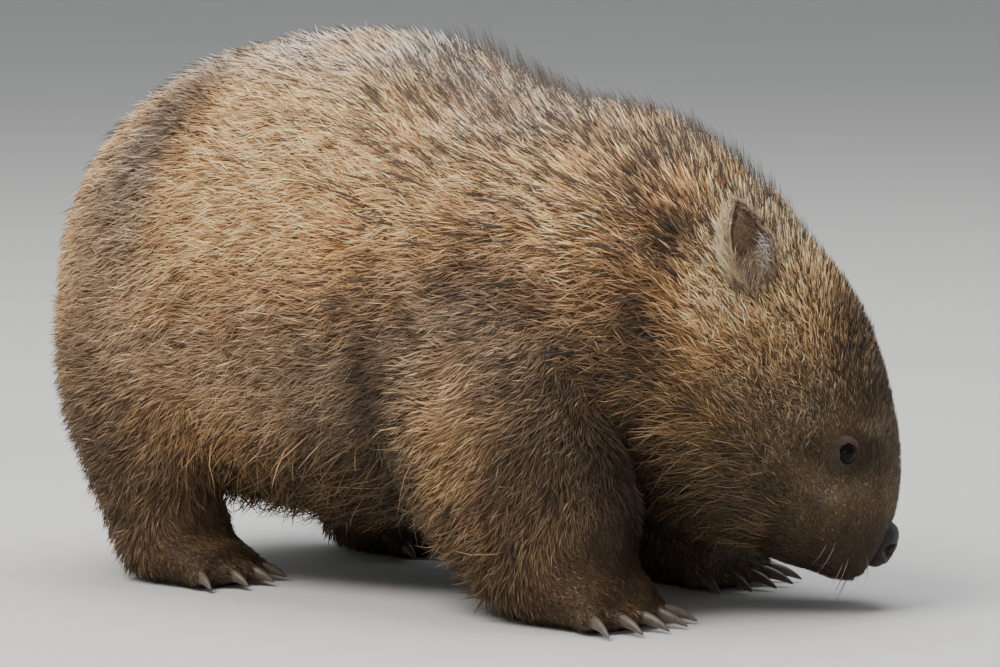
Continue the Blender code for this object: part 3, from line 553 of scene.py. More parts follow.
def noise(tree, place, scale, detail=3.0, roughness=0.55):
    """A value from a noise in Object coordinates."""
    made = tree.nodes.new("ShaderNodeTexNoise")
    made.inputs["Scale"].default_value = scale
    made.inputs["Detail"].default_value = detail
    made.inputs["Roughness"].default_value = roughness
    tree.links.new(place, made.inputs["Vector"])
    return made.outputs["Fac"]


def spread(tree, value, low, high):
    """A value from 0 to 1 carried to the range from low to high."""
    made = tree.nodes.new("ShaderNodeMapRange")
    made.inputs["To Min"].default_value = low
    made.inputs["To Max"].default_value = high
    tree.links.new(value, made.inputs["Value"])
    return made.outputs["Result"]


def scaled_colour(tree, colour, factor):
    """A colour made darker or lighter by a factor that changes over the surface."""
    made = tree.nodes.new("ShaderNodeVectorMath")
    made.operation = "SCALE"
    tree.links.new(colour, made.inputs[0])
    tree.links.new(factor, made.inputs["Scale"])
    return made.outputs["Vector"]


def mixed(tree, factor, first, second):
    """Two fixed colours mixed by a factor."""
    made = tree.nodes.new("ShaderNodeMix")
    made.data_type = "RGBA"
    made.inputs["A"].default_value = (*first, 1)
    made.inputs["B"].default_value = (*second, 1)
    tree.links.new(factor, made.inputs["Factor"])
    return made.outputs["Result"]


def bump(tree, shader, height, strength, distance):
    """Gives the shader the relief of a height."""
    made = tree.nodes.new("ShaderNodeBump")
    made.inputs["Strength"].default_value = strength
    made.inputs["Distance"].default_value = distance
    tree.links.new(height, made.inputs["Height"])
    tree.links.new(made.outputs["Normal"], shader.inputs["Normal"])


def grained_material(name, finish, grain, colours, rough=None):
    """Two colours mixed by a noise, which may be its bump too. Finish is its roughness and specular level."""
    made, tree, shader, place = node_material(name, *finish)
    value = noise(tree, place, *grain)
    tree.links.new(mixed(tree, value, *colours), shader.inputs["Base Color"])
    if rough:
        bump(tree, shader, value, *rough)
    return made


def tone_material(name, roughness, specular, flecks, low, high, rough=None):
    """The colour of the tone attribute, scaled from low to high by a fine noise, which may be its bump too."""
    made, tree, shader, place = node_material(name, roughness, specular)
    tone = tree.nodes.new("ShaderNodeAttribute")
    tone.attribute_name = "tone"
    grain = noise(tree, place, flecks)
    colour = scaled_colour(tree, tone.outputs["Color"], spread(tree, grain, low, high))
    tree.links.new(colour, shader.inputs["Base Color"])
    if rough:
        bump(tree, shader, grain, *rough)
    return made


def hair_material():
    """Every hair's material."""
    return tone_material("coat_hair", 0.60, 0.22, 900.0, 0.72, 1.28)


def skin_material():
    """The skin's material, with a fine grain."""
    return tone_material("bare_skin", 0.62, 0.30, 700.0, 0.70, 1.30, rough=(0.5, 0.0006))


# Colours of the coat, as functions of the place on the straightened animal


def coat_colours(points, normals, colours):
    """The coat's colour at each root, before the hairs' own differences.

    It starts from a blend by height and by how far the hide faces up: darker hair low down, partly painted shade
    under the body, and the spine's grey where the hair faces up, partly a painted sheen. Each marking pulls it to
    its own colour inside a soft oval of the side view; some markings are painted shade in hollows and creases, one
    partly a painted highlight on the nape. Slow noise mottles the whole."""
    straight, at = straightened(points)
    side_view = straight[:, [0, 2]]
    facing = np.clip(normals[:, 2], -1, 1)
    tone = np.tile(np.array(colours.flank), (len(points), 1))

    def pull(colour, share):
        """Draws the tone towards a named colour by a share."""
        nonlocal tone
        share = np.clip(share, 0, 1)[:, None]
        tone = tone * (1 - share) + np.array(getattr(colours, colour)) * share

    def paint(markings, places):
        """Draws the tone to each marking's colour inside its oval."""
        for centre, radii, colour, strength in markings:
            away = (places - centre) / radii
            pull(colour, strength * np.exp(-((away**2).sum(1) ** MARKING_EDGE)))

    # Darker hair low on the sides and under the belly, partly painted shade under the body.
    pull("belly", smooth_step(-straight[:, 2], -0.255, -0.090))
    # The spine's greyer hair where the hide faces up, partly a painted sheen on the top of the back; less towards the
    # nape.
    pull("spine", smooth_step(facing, 0.72, 1.0) * 0.75 * (1 - 0.7 * smooth_step(at, 5.2, 7.2)))
    streaks = smooth_step(ripple(points, 0.042, 13), 0.1, 1.1)
    pull("shade", 0.40 * streaks * (1 - smooth_step(straight[:, 2], 0.24, 0.33)))
    pull("ginger", 0.6 * smooth_step(ripple(points, 0.10, 3), -0.3, 1.0) * smooth_step(straight[:, 2], 0.16, 0.27))
    paint(MARKINGS, side_view)
    pull("face", smooth_step(at, 9.6, 11.8) * 0.9)
    pull("crown", smooth_step(at, 7.5, 9.0) * (1 - smooth_step(at, 9.2, 10.9)) * smooth_step(facing, 0.0, 0.6) * 0.85)
    paint(FACE_MARKINGS, side_view)
    moved = np.where(straight[:, 1] > 0, np.where(straight[:, 0] > 0, LEGS[1].ahead, LEGS[3].ahead), 0.0)
    paint(LEG_MARKINGS, side_view - np.stack([moved * smooth_step(-straight[:, 2], -0.26, -0.12), 0 * moved], 1))
    return tone * (1 + 0.17 * ripple(points, 0.032, 5) + 0.12 * ripple(points, 0.012, 7))[:, None]


# Each marking: its centre and radii in the side view, its colour and its strength.
MARKINGS = (
    ((-0.060, 0.285), (0.090, 0.045), "buff", 0.50),
    ((0.010, 0.335), (0.120, 0.025), "buff", 0.4),
    ((0.140, 0.283), (0.045, 0.035), "buff", 0.60),  # over the shoulder
    ((0.130, 0.325), (0.050, 0.022), "limb", 0.25),
    ((0.208, 0.312), (0.028, 0.022), "buff", 0.75),
    ((0.205, 0.300), (0.040, 0.030), "ginger", 0.4),
    # Partly pale hair near the ears, partly a painted highlight along the top of the nape.
    ((0.203, 0.318), (0.026, 0.018), "pale", 0.45),
    # Painted shade in the hollow behind the shoulder.
    ((0.104, 0.240), (0.026, 0.050), "shade", 0.55),
    ((0.060, 0.208), (0.085, 0.034), "shade", 0.50),
    ((0.140, 0.205), (0.040, 0.050), "shade", 0.60),
    ((0.100, 0.200), (0.045, 0.045), "shade", 0.60),
    ((-0.110, 0.125), (0.070, 0.040), "flank", 0.60),
    ((-0.020, 0.160), (0.170, 0.055), "grey", 0.22),
    ((-0.165, 0.332), (0.030, 0.040), "dark", 0.80),  # the band over the rump
    ((0.000, 0.175), (0.130, 0.030), "shade", 0.40),
    ((-0.188, 0.300), (0.024, 0.036), "shade", 0.85),
    ((-0.180, 0.275), (0.034, 0.060), "shade", 0.48),
    ((-0.200, 0.250), (0.045, 0.090), "grey", 0.32),
    ((-0.210, 0.245), (0.026, 0.044), "shade", 0.60),
    ((-0.214, 0.165), (0.024, 0.050), "shade", 0.50),
    ((-0.160, 0.110), (0.050, 0.040), "shade", 0.6),
    ((-0.128, 0.112), (0.035, 0.026), "flank", 0.40),
    ((0.038, 0.140), (0.024, 0.070), "dark", 0.85),  # painted shade in the crease behind the foreleg
    # Painted shade in the hollow between shoulder and cheek and down towards the foreleg, with the neck's darker tufts.
    ((0.182, 0.296), (0.016, 0.030), "shade", 0.60),  # between shoulder and cheek
    ((0.197, 0.240), (0.017, 0.040), "dark", 0.65),
    ((0.195, 0.200), (0.018, 0.035), "dark", 0.85),
    ((0.172, 0.150), (0.016, 0.045), "dark", 0.50),
)
LEG_MARKINGS = (
    ((-0.165, 0.035), (0.075, 0.080), "limb", 0.9),
    ((0.150, 0.050), (0.085, 0.105), "limb", 0.85),
    ((0.178, 0.090), (0.032, 0.080), "dark", 0.95),  # painted shade on the front of the foreleg
    ((0.150, 0.160), (0.020, 0.030), "dark", 0.50),
    ((0.104, 0.120), (0.028, 0.060), "buff", 0.28),  # paler hair at the foreleg's rear
)
FACE_MARKINGS = (
    # Painted shade at the top of the hollow between shoulder and cheek, with the neck's darker tufts.
    ((0.208, 0.260), (0.013, 0.022), "dark", 0.90),
    ((0.233, 0.264), (0.013, 0.028), "pale", 0.85),  # round the ear and down the cheek
    ((0.238, 0.222), (0.020, 0.032), "pale", 0.75),
    ((0.256, 0.262), (0.018, 0.022), "pale", 0.60),
    ((0.264, 0.214), (0.040, 0.044), "buff", 0.60),
    ((0.268, 0.165), (0.034, 0.030), "grey", 0.30),
    ((0.203, 0.110), (0.016, 0.050), "cheek", 0.90),
    ((0.194, 0.128), (0.018, 0.026), "buff", 0.35),
    ((0.256, 0.172), (0.036, 0.034), "cheek", 0.55),
    ((0.274, 0.212), (0.028, 0.036), "buff", 0.36),
    ((0.306, 0.225), (0.018, 0.050), "limb", 0.80),
    ((0.208, 0.120), (0.012, 0.050), "cheek", 0.35),
    ((0.283, 0.118), (0.013, 0.011), "dark", 0.75),
    ((0.252, 0.088), (0.045, 0.020), "dark", 0.45),
    ((0.298, 0.091), (0.018, 0.012), "grey", 0.30),  # grizzled cheek under the eye
    ((0.330, 0.160), (0.022, 0.028), "dark", 0.55),
    ((0.3130, 0.1120), (0.0200, 0.0185), "dark", 1.0),  # round the eye
    ((0.3240, 0.1310), (0.0080, 0.0060), "grey", 0.35),  # over the eye
    ((0.325, 0.042), (0.060, 0.030), "dark", 0.92),  # muzzle
    ((0.255, 0.045), (0.050, 0.030), "dark", 0.75),  # throat
)


def colour_property(name, description, default):
    """A colour of the panel."""
    return bpy.props.FloatVectorProperty(name=name, description=description, subtype="COLOR", default=default)


class WombatColours(bpy.types.PropertyGroup):
    """Colours of the coat and of the bare pieces."""

    flank: colour_property("Flank", "Brown of the back and the flanks", (0.62, 0.395, 0.200))
    ginger: colour_property("Ginger", "Warm hair of the shoulders", (0.72, 0.40, 0.16))
    # Spine: greyer hair of the back, laid where the hide faces up, so partly a painted sheen.
    spine: colour_property("Spine", "Greyer hair along the back", (0.82, 0.69, 0.60))
    # Belly: darker hair low on the body, partly painted shade under it.
    belly: colour_property("Belly", "Hair low on the sides and under the belly", (0.100, 0.073, 0.043))
    buff: colour_property("Buff", "The palest hair of the flanks", (0.84, 0.555, 0.285))
    crown: colour_property("Crown", "Hair of the nape and the forehead", (0.66, 0.405, 0.20))
    # Shade: darker streaks and bands of the coat, and painted shade in the hollow behind the shoulder.
    shade: colour_property("Shade", "Darker bands of the coat", (0.130, 0.094, 0.068))
    # Dark: the darkest hair, and painted shade in the creases round the foreleg and between shoulder and cheek.
    dark: colour_property("Dark", "The darkest hair", (0.060, 0.043, 0.028))
    limb: colour_property("Limbs", "Hair of the legs", (0.140, 0.098, 0.058))
    face: colour_property("Face", "Hair of the head", (0.190, 0.150, 0.098))
    cheek: colour_property("Cheek", "Olive hair of the cheeks", (0.225, 0.172, 0.088))
    grey: colour_property("Grey", "Grizzled hair near the eyes", (0.46, 0.42, 0.36))
    # Pale: hair round the ears, and partly a painted highlight along the top of the nape.
    pale: colour_property("Pale", "Hair round the ears", (0.92, 0.68, 0.42))
    bare: colour_property("Bare skin", "Lids, ears' insides and lips", (0.050, 0.034, 0.028))


class WombatSizes(bpy.types.PropertyGroup):
    """Sizes of the skin and the coat."""

    voxel: bpy.props.FloatProperty(
        name="Skin detail", description="Grid size of the joined skin", default=0.0047, unit="LENGTH"
    )
    spacing: bpy.props.FloatProperty(
        name="Hair spacing", description="Distance between hairs on the body", default=0.00168, unit="LENGTH"
    )
    length: bpy.props.FloatProperty(
        name="Hair length", description="Length of the hair on the back", default=0.0210, unit="LENGTH"
    )
    width: bpy.props.FloatProperty(
        name="Hair width", description="Breadth of a hair on the back", default=0.00060, unit="LENGTH"
    )
    lift: bpy.props.FloatProperty(
        name="Hair lift", description="How far the hair stands off the skin", default=math.radians(26),
        subtype="ANGLE",
    )
    bristle: bpy.props.FloatProperty(
        name="Nape bristles", description="Length of the dark bristles on the nape", default=0.034, unit="LENGTH"
    )


# Skin


def lid_distance(local, ahead, aside):
    """How far points lie from an eye's middle, as a share of the way to the edge of its almond of open lids."""
    return np.sqrt((local @ ahead / LID_HALF[0]) ** 2 + (local @ aside / LID_HALF[1]) ** 2)


def sink_eyes(points):
    """Opens the lids: inside an almond the skin drops behind the eyeball, and round it a rim hugs the ball.

    The distance r is 1 on the almond's edge. The rim runs to 1.35, and from there to 2.6 the skin rises back
    to its own height, a little deepened in front of the eye and raised as a brow above it."""
    out = points.copy()
    for side, (_, normal, ahead, aside) in EYES.items():
        centre = EYE_CENTRES[side] + SHIFT
        local = points - centre
        u, v, height = local @ ahead, local @ aside, local @ normal
        r = lid_distance(local, ahead, aside)
        near = (r < 3.2) & (height > -0.004)
        ball = np.sqrt(np.maximum(EYE_RADIUS**2 - u**2 - v**2, (1.5 * MM) ** 2))
        rim = ball + 0.5 * MM + 0.9 * MM * np.exp(-(((r - 1.16) / 0.16) ** 2))
        own = height - 1.2 * MM * np.exp(-(((r - 2.1) / 0.5) ** 2))
        share = smooth_step(r, 1.28, 2.5)
        wanted = rim * (1 - share) + own * share
        wanted = np.where(r < 1.0, ball - 3.0 * MM, wanted)
        out[near] += ((wanted - height)[:, None] * normal)[near]
    return out


def near_line(points, line):
    """The distance of each point to a line of points."""
    best = np.full(len(points), np.inf)
    for spot in line:
        best = np.minimum(best, ((points - spot) ** 2).sum(1))
    return np.sqrt(best)


def cut_mouth(points, normals):
    """Sinks the line of the mouth into the skin and swells the lips beside it."""
    line = mouth_line() + SHIFT
    near = np.where(((points - line.mean(0)) ** 2).sum(1) < MOUTH_PATCH**2)[0]
    away = near_line(points[near], line)
    groove = -2.2 * MM * np.exp(-((away / (1.5 * MM)) ** 2))
    depth = groove + 0.9 * MM * np.exp(-(((away - 4.0 * MM) / (2.2 * MM)) ** 2))
    out = points.copy()
    out[near] += normals[near] * depth[:, None]
    return out


def ear_shell(side):
    """An ear as one closed shell: rows run up the outside and down the inside of the arc."""
    lift = np.concatenate([np.linspace(0, 0.7, 16), np.linspace(0.74, 0.985, 10)])
    about = np.linspace(-1, 1, 25)
    outer = ear_points(side, lift[:, None], about[None, :])
    inner = ear_points(side, lift[:, None], 0.94 * about[None, ::-1], wall=EAR_WALL)
    rings = np.concatenate([outer, inner], axis=1)
    return loft_piece(f"ear_{SIDES[side]}", rings, None)


def build_skin(sizes):
    """Lofts of the hide, the legs and the toes, made one by a voxel remesh and smoothed."""
    places = even_places(0.0, LAST, 170)[0]
    angles = np.linspace(0, 2 * math.pi, 144, endpoint=False)
    lofts = [loft_piece("hide", hide_points(places[:, None], angles[None, :])[1:-1], None)]
    turn = np.linspace(0, 2 * math.pi, 64, endpoint=False)
    for leg in LEGS:
        rings = leg_points(leg, np.linspace(0, len(leg.stations) - 1, 70)[:, None], turn[None, :])
        lofts.append(loft_piece(leg.name, rings, None))
        length, radius = TOE_LENGTH - PAW_SKIN_DEPTH, TOE_RADIUS - PAW_SKIN_DEPTH
        for base, ahead in zip(*toe_bases(leg)):
            rings = ball_points(base, ahead * length, np.cross(UP, ahead) * radius, UP * radius)
            lofts.append(loft_piece("toe", rings, None))
    root = np.array([STATIONS[0].belly[0] + 0.006, 0.0, 0.190])
    way = unit(np.array([-0.72, 0.0, -0.69]))
    aside = np.array([0.0, 0.009, 0.0])
    lofts.append(loft_piece("tail", ball_points(root, way * 0.022, aside, np.cross(way, aside)), None))
    skin = joined("skin", lofts)
    remesh = skin.modifiers.new("one skin", "REMESH")
    remesh.mode = "VOXEL"
    remesh.voxel_size = sizes.voxel
    remesh.adaptivity = 0.0
    applied(skin)
    points = places_of(skin.data)
    at = straightened(points)[1]
    joins = smooth_step(points[:, 2], 0.075, 0.16) * (1 - smooth_step(at, 9.0, 10.5))
    weights = skin.vertex_groups.new(name="joins")
    for step in range(1, 11):
        weights.add(np.where(np.round(joins * 10) == step)[0].tolist(), step / 10, "REPLACE")
    for name, group, rounds in (("smooth", "", 5), ("smooth joins", "joins", 45)):
        smooth = skin.modifiers.new(name, "SMOOTH")
        smooth.factor = 0.5
        smooth.iterations = rounds
        smooth.vertex_group = group
    applied(skin)
    skin.vertex_groups.clear()
    return skin


def detail_skin(skin, colours):
    """Divides the skin round the eyes and the mouth, shapes the lids and lips, adds the ears and the colours."""
    points = places_of(skin.data)
    chosen = np.zeros(len(points), bool)
    for side in SIDES:
        chosen |= ((points - EYE_CENTRES[side] - SHIFT) ** 2).sum(1) < EYE_PATCH**2
    line = mouth_line() + SHIFT
    close = ((points - line.mean(0)) ** 2).sum(1) < MOUTH_PATCH**2
    chosen[close] |= near_line(points[close], line) < LIP_PATCH
    refine(skin, chosen, 3)
    points = sink_eyes(cut_mouth(places_of(skin.data), normals_in(skin.data)))
    points[:, 2] = np.maximum(points[:, 2], 0.2 * MM)
    skin.data.vertices.foreach_set("co", points.astype(np.float32).ravel())
    skin.data.update()
    outwards(skin)
    own = len(skin.data.vertices)
    skin = joined("skin", [skin] + [ear_shell(side) for side in SIDES])
    points, normals = places_of(skin.data), normals_in(skin.data)
    tone = coat_colours(points, normals, colours) * SKIN_SHARE
    bare, rose = np.zeros((2, len(points)))
    for side, (_, normal, ahead, aside) in EYES.items():
        local = points - EYE_CENTRES[side] - SHIFT
        r = lid_distance(local, ahead, aside)
        bare = np.maximum(bare, (1 - smooth_step(r, 1.3, 1.9)) * (np.abs(local @ normal) < 0.02))
        over = smooth_step(local @ np.array([0.5, 0.0, 0.85]), 0.004, 0.011) * (np.abs(local @ normal) < 0.02)
        rose = np.maximum(rose, 0.8 * over * (1 - smooth_step(np.abs(r - 1.45), 0.15, 0.45)))
    bare = np.maximum(bare, 1 - smooth_step(points[:, 2], 0.004, 0.014))
    tone = tone * (1 - bare[:, None]) + np.array(colours.bare) * bare[:, None]
    tone = tone * (1 - rose[:, None]) + np.array(LID_PINK) * rose[:, None]
    tone[own:] = np.array(colours.bare) * EAR_GLOW
    set_tone(skin.data, tone)
    skin.data.materials.clear()
    skin.data.materials.append(skin_material())
    skin.data.polygons.foreach_set("material_index", np.zeros(len(skin.data.polygons), np.int32))
    skin.data.shade_smooth()
    return skin


# Coat


def hide_lie(at, angle):
    """The way the hair lies on the hide: back along it and down its sides, straight down over the rump.

    On the head it falls less, so that it runs back to the nape, but it hangs from the throat and the jaw."""
    back = unit(hide_points(at - 0.05, angle) - hide_points(at + 0.05, angle))
    over_rump = (1 - smooth_step(at, 1.2, 2.8))[:, None]
    back = back * (1 - over_rump) + np.array([-1.0, 0.0, 0.0]) * over_rump
    fall = 0.32 * smooth_step(np.abs(np.sin(angle)), 0.15, 0.9) * (1 - 0.95 * smooth_step(at, 8.0, 10.5))
    fall = fall * (1 + over_rump[:, 0]) + 1.5 * hanging(at, angle)
    return unit(back - UP * fall[:, None])


def hanging(at, angle):
    """How far the hair hangs: along the belly's edge, and under the cheeks and the jaw."""
    low = smooth_step(np.abs(angle), 1.75, 2.35)
    ruff = smooth_step(at, 7.2, 8.6) * (1 - smooth_step(at, 11.8, 13.2))
    belly = 0.4 * smooth_step(at, 0.6, 1.6) * (1 - smooth_step(at, 6.0, 7.5))
    return low * (ruff + belly)


def snapped(skin, points):
    """The nearest points of the skin and its smooth normals there, by two runs of a Shrinkwrap."""
    found = []
    for offset in (0.0, 0.01):
        made = mesh_piece("roots", points, [np.arange(3)[None]], None, shift=False)
        wrap = made.modifiers.new("onto skin", "SHRINKWRAP")
        wrap.wrap_method = "NEAREST_SURFACEPOINT"
        wrap.wrap_mode = "ABOVE_SURFACE"
        wrap.offset = offset
        wrap.target = skin
        graph = bpy.context.evaluated_depsgraph_get()
        mesh = made.evaluated_get(graph).to_mesh()
        found.append(places_of(mesh))
        made.evaluated_get(graph).to_mesh_clear()
        bpy.data.objects.remove(made)
    return found[0], unit(found[1] - found[0])


def jittered_rows(surface, arc, row_places, spacing, draw):
    """Rows of cells over a surface, as many to a row as its girth along the arc needs.

    The row places are the rows' edges and middles. It returns each cell's place, its share of its row, where it
    lies on the unwrap, and its clump; the place and the share are moved at random inside the cell."""
    girths = np.linalg.norm(np.diff(surface(row_places[1::2, None], arc[None, :]), axis=1), axis=-1).sum(1)
    counts = np.maximum(2, (girths / spacing).astype(int))
    row = np.repeat(np.arange(len(counts)), counts)
    column = np.arange(counts.sum()) - np.repeat(np.cumsum(counts) - counts, counts)
    along = (row + 0.5 + draw.uniform(-0.45, 0.45, len(row))) / len(counts)
    share = (column + 0.5 + draw.uniform(-0.45, 0.45, len(row))) / counts[row]
    cell = np.stack([(column + 0.5) / counts[row], (row + 0.5) / len(counts)], axis=1)
    clump = (row // 4) * 1000 + ((column + 2 * ((row // 4) % 2)) // 4)
    return np.interp(along, np.linspace(0, 1, len(row_places)), row_places), share, cell, clump


def tufted(points, clump, pull):
    """Each clump's points drawn towards their mean by a share."""
    _, index = np.unique(clump, return_inverse=True)
    count = np.bincount(index)[:, None]
    mean = np.stack([np.bincount(index, points[:, i]) for i in range(3)], axis=1) / count
    return points + (mean[index] - points) * pull[:, None]


def hair_piece(name, root, normal, lie, length, width, lift, bend, curl, tones, cell, clump, pull, links=1):
    """One piece of coat, each hair a closed blade: a root under the skin, a point on either side of it and a tip.

    A hair of two links has two sections of three points instead of the pair. It leaves the skin at its lift and
    turns back towards it by its bend over its length, and sideways by its curl, which a hair of one link leaves
    out. Its normals spread sideways as on a round strand. The hairs of a clump lean together towards their tips."""
    across = unit(np.cross(normal, lie))
    lie = np.cross(across, normal)
    stations = (0.0, 0.30, 0.62, 1.0)
    size, bow = length[:, None], curl * (links == 2)
    bend = bend * (0.4 if links == 1 else 1.0)
    start = root - normal * np.minimum(0.10 * length, 2.0 * MM)[:, None] - lie * 0.04 * size
    spine, at = [start], start
    for low, high in zip(stations, stations[1:]):
        angle = (lift - bend * (low + high) / 2)[:, None]
        turn = (bow * ((low + high) / 2 - 0.35))[:, None]
        way = lie * np.cos(turn) + across * np.sin(turn)
        at = at + (way * np.cos(angle) + normal * np.sin(angle)) * size * (high - low)
        spine.append(tufted(at, clump, pull * high**1.5))
    for line in spine[1:]:
        line[:, 2] = np.maximum(line[:, 2], 0.6 * MM - SHIFT[2])
    half = (width / 2)[:, None]
    if links == 1:
        right, left = (across + 0.4 * normal) * half, (across - 0.4 * normal) * half
        rows = [spine[0], spine[1] + right, spine[2] - left, spine[3]]
        shares, sides = list(stations), [0.5, 1.0, 0.0, 0.5]
        faces = [(0, 2, 1), (3, 1, 2), (0, 1, 3), (0, 3, 2)]
    else:
        rows, shares, sides = [spine[0]], [0.0], [0.5]
        for line, share, broad in zip(spine[1:3], stations[1:3], (1.0, 0.7)):
            rows += [line + across * half * broad, line - across * half * broad, line + normal * half * broad * 0.9]
            shares, sides = shares + [share] * 3, sides + [1.0, 0.0, 0.5]
        rows, shares, sides = rows + [spine[3]], shares + [1.0], sides + [0.5]
        faces = [(0, 1, 2), (0, 3, 1), (0, 2, 3), (2, 1, 4), (2, 4, 5), (1, 3, 4), (3, 6, 4), (2, 5, 3), (3, 5, 6),
                 (7, 5, 4), (7, 4, 6), (7, 6, 5)]
    points, faces = np.stack(rows, axis=1), np.array(faces)
    count, each = points.shape[:2]
    first, second, third = (points[:, faces[:, i]] - points[:, :1] for i in range(3))
    inside_out = (np.cross(first, second) * third).sum((1, 2)) < 0
    faces = np.where(inside_out[:, None, None], faces[None, :, ::-1], faces[None])
    index = (np.arange(count)[:, None, None] * each + faces).reshape(-1, 3)
    made = mesh_piece(name, points, [index], bpy.data.materials.get("coat_hair") or hair_material())
    low, middle, high = (np.asarray(tone)[:, None] for tone in tones)
    first = np.clip(np.array(shares) / 0.42, 0, 1)[None, :, None]
    second = np.clip((np.array(shares) - 0.42) / 0.58, 0, 1)[None, :, None]
    tone = (low * (1 - first) + middle * first) * (1 - second) + high * second
    set_tone(made.data, tone.reshape(-1, 3))
    spread_out = (np.array(sides) - 0.5) * 2.2
    shading = unit(
        (normal + across * (0.45 * np.sin(9 * curl))[:, None] + lie * 0.1)[:, None]
        + across[:, None] * spread_out[None, :, None]
    )
    layer = made.data.attributes.new("custom_normal", "FLOAT_VECTOR", "POINT")
    layer.data.foreach_set("vector", shading.astype(np.float32).ravel())
    patch = (np.stack([sides, shares], axis=1) - 0.5) * PATCH
    layer = made.data.uv_layers.new(name="OFBake")
    corners = (cell[:, None, None] + patch[faces]).reshape(-1, 2)
    layer.data.foreach_set("uv", corners.astype(np.float32).ravel())
    return made


def hair_tones(base, dark_share, pale_share, draw):
    """Each hair's colours at its root, middle and tip: most are banded with a paler tip, some are nearly black."""
    count = len(base)
    kind = draw.random(count)
    own = np.exp(draw.normal(-0.03, 0.46, count))[:, None]
    middle = base * own * MIDDLE_SHARE
    tip = base * own * TIP_SHARE * (1.0 + 0.40 * draw.random(count)[:, None])
    pale = (kind > 1 - pale_share)[:, None]
    tip = np.where(pale, tip * 1.20 + 0.07 * base.mean(1, keepdims=True), tip)
    dark = (kind < dark_share)[:, None]
    tip = np.where(dark, base * 0.04 + BLACK_TIP, tip)
    middle = np.where(dark, base * 0.12 + BLACK_TIP, middle)
    return base * ROOT_SHARE, middle, tip


def grown_on(groom, name, root, lie, cell, clump, length, dark=0.20, pale=0.35, pull=0.4, lift=1.0, bend=0.75,
             links=1, wobble=0.36, thin=1.0, swirl=0.34, locks=0.15, reach=0.0045):
    """Hairs over roots near the skin: snapped onto it, turned a little at random, coloured by place.

    None grows on the eyes, the nose pad, the mouth's line or the soles, nor where the skin is farther than the
    reach. Dark and pale are the shares of such hairs, wobble turns each hair, swirl a place and locks a lock."""
    skin, sizes, colours, draw = groom
    place, normal = snapped(skin, root + SHIFT)
    kept = np.linalg.norm(place - root - SHIFT, axis=1) < reach
    for side, (_, out, ahead, aside) in EYES.items():
        local = place - EYE_CENTRES[side] - SHIFT
        r = lid_distance(local, ahead, aside)
        beyond = np.abs(local @ out) > 0.03
        kept &= (r > 1.27) | beyond
        length = length * (0.45 + 0.55 * smooth_step(r + 9 * beyond, 1.3, 3.2))
    nose = place - nose_centre() - SHIFT
    kept &= (nose**2).sum(1) > 0.0185**2
    kept &= place[:, 2] > 3.0 * MM
    if name.startswith("coat_head"):
        close = ((place - mouth_line().mean(0) - SHIFT) ** 2).sum(1) < MOUTH_PATCH**2
        kept[close] &= near_line(place[close], mouth_line() + SHIFT) > 1.9 * MM
    place, normal, lie, length, clump, cell, lift, dark, wobble, pull, thin = (
        np.broadcast_to(values, (len(kept),) + np.shape(values)[1:])[kept]
        for values in (place, normal, lie, length, clump, cell, lift, dark, wobble, pull, thin)
    )
    count = len(place)
    base = coat_colours(place + lie * length[:, None] * 0.6, normal, colours)
    _, index = np.unique(clump, return_inverse=True)
    turn_of_lock, curl_of_lock = draw.normal(0, 1, (2, index.max() + 1))[:, index]
    swirl = swirl * ripple(place, 0.04, 11) + draw.normal(0, 1, count) * wobble + turn_of_lock * locks
    curl = 1.6 * draw.normal(0, 1, count) * wobble + 1.5 * curl_of_lock * locks
    lie = unit(lie - normal * (lie * normal).sum(1, keepdims=True))
    across = np.cross(normal, lie)
    lie = lie * np.cos(swirl)[:, None] + across * np.sin(swirl)[:, None]
    shrink = (length / sizes.length) ** 0.45
    length = length * draw.uniform(0.75, 1.15, count)
    width = sizes.width * thin * shrink * draw.uniform(0.7, 1.25, count)
    lifts = sizes.lift * lift * draw.uniform(0.6, 1.3, count)
    pulls = pull * draw.uniform(0.2, 1.5, index.max() + 1)[index]
    return hair_piece(name, place - SHIFT, normal, lie, length, width, lifts, lifts * bend, curl,
                      hair_tones(base, dark, pale, draw), cell, clump, np.clip(pulls, 0, 0.9), links)


def coat_hide(groom, name, start, end, side):
    """The coat of one side of a length of the hide."""
    spacing = groom.sizes.spacing * (1 - 0.25 * smooth_step((start + end) / 2, 8.5, 12.5))
    rows = int(even_places(start, end, 2)[1] / spacing)
    row_places = even_places(start, end, 2 * rows + 1)[0]
    at, share, cell, clump = jittered_rows(hide_points, np.linspace(0, math.pi, 25), row_places, spacing, groom.draw)
    angle = -side * share * math.pi
    length = groom.sizes.length * through(LENGTH_BY_STATION, at)
    throat = smooth_step(np.abs(angle), 1.9, 2.4) * smooth_step(at, 7.5, 9.0) * (1 - smooth_step(at, 11.5, 13.0))
    length = length * (1 + 0.35 * throat)
    nape = np.exp(-((angle / 1.0) ** 2)) * smooth_step(at, 5.0, 6.5) * (1 - smooth_step(at, 11.0, 13.0))
    face = smooth_step(at, 9.5, 11.5)
    return grown_on(
        groom, name, hide_points(at, angle), hide_lie(at, angle), cell, clump, length,
        dark=0.14 + 0.14 * nape + 0.08 * face, pale=0.28, pull=0.12 + 0.15 * nape, lift=1.0 + 0.8 * nape,
        wobble=0.40 + 0.10 * face, thin=1.0 - 0.22 * face,
    )


def leg_lie(at, turn):
    """With the body's hair at the top of a leg, then down it, to the back at its rear, and ahead over the paw."""
    ahead = np.cos(turn)
    down = unit(np.stack([0.45 * ahead - 0.28, 0 * ahead, -0.90 + 0 * ahead], axis=1))
    upper = ((1 - smooth_step(at, 1.8, 4.4)) * (0.62 + 0.38 * smooth_step(-ahead, -0.6, 0.4)))[:, None]
    on_paw = smooth_step(at, ANKLE - 0.9, ANKLE + 0.8)[:, None]
    down = down * (1 - upper) + unit(np.array([-0.92, 0.0, -0.38])) * upper
    return down * (1 - on_paw) + np.array([0.85, 0, -0.5]) * on_paw


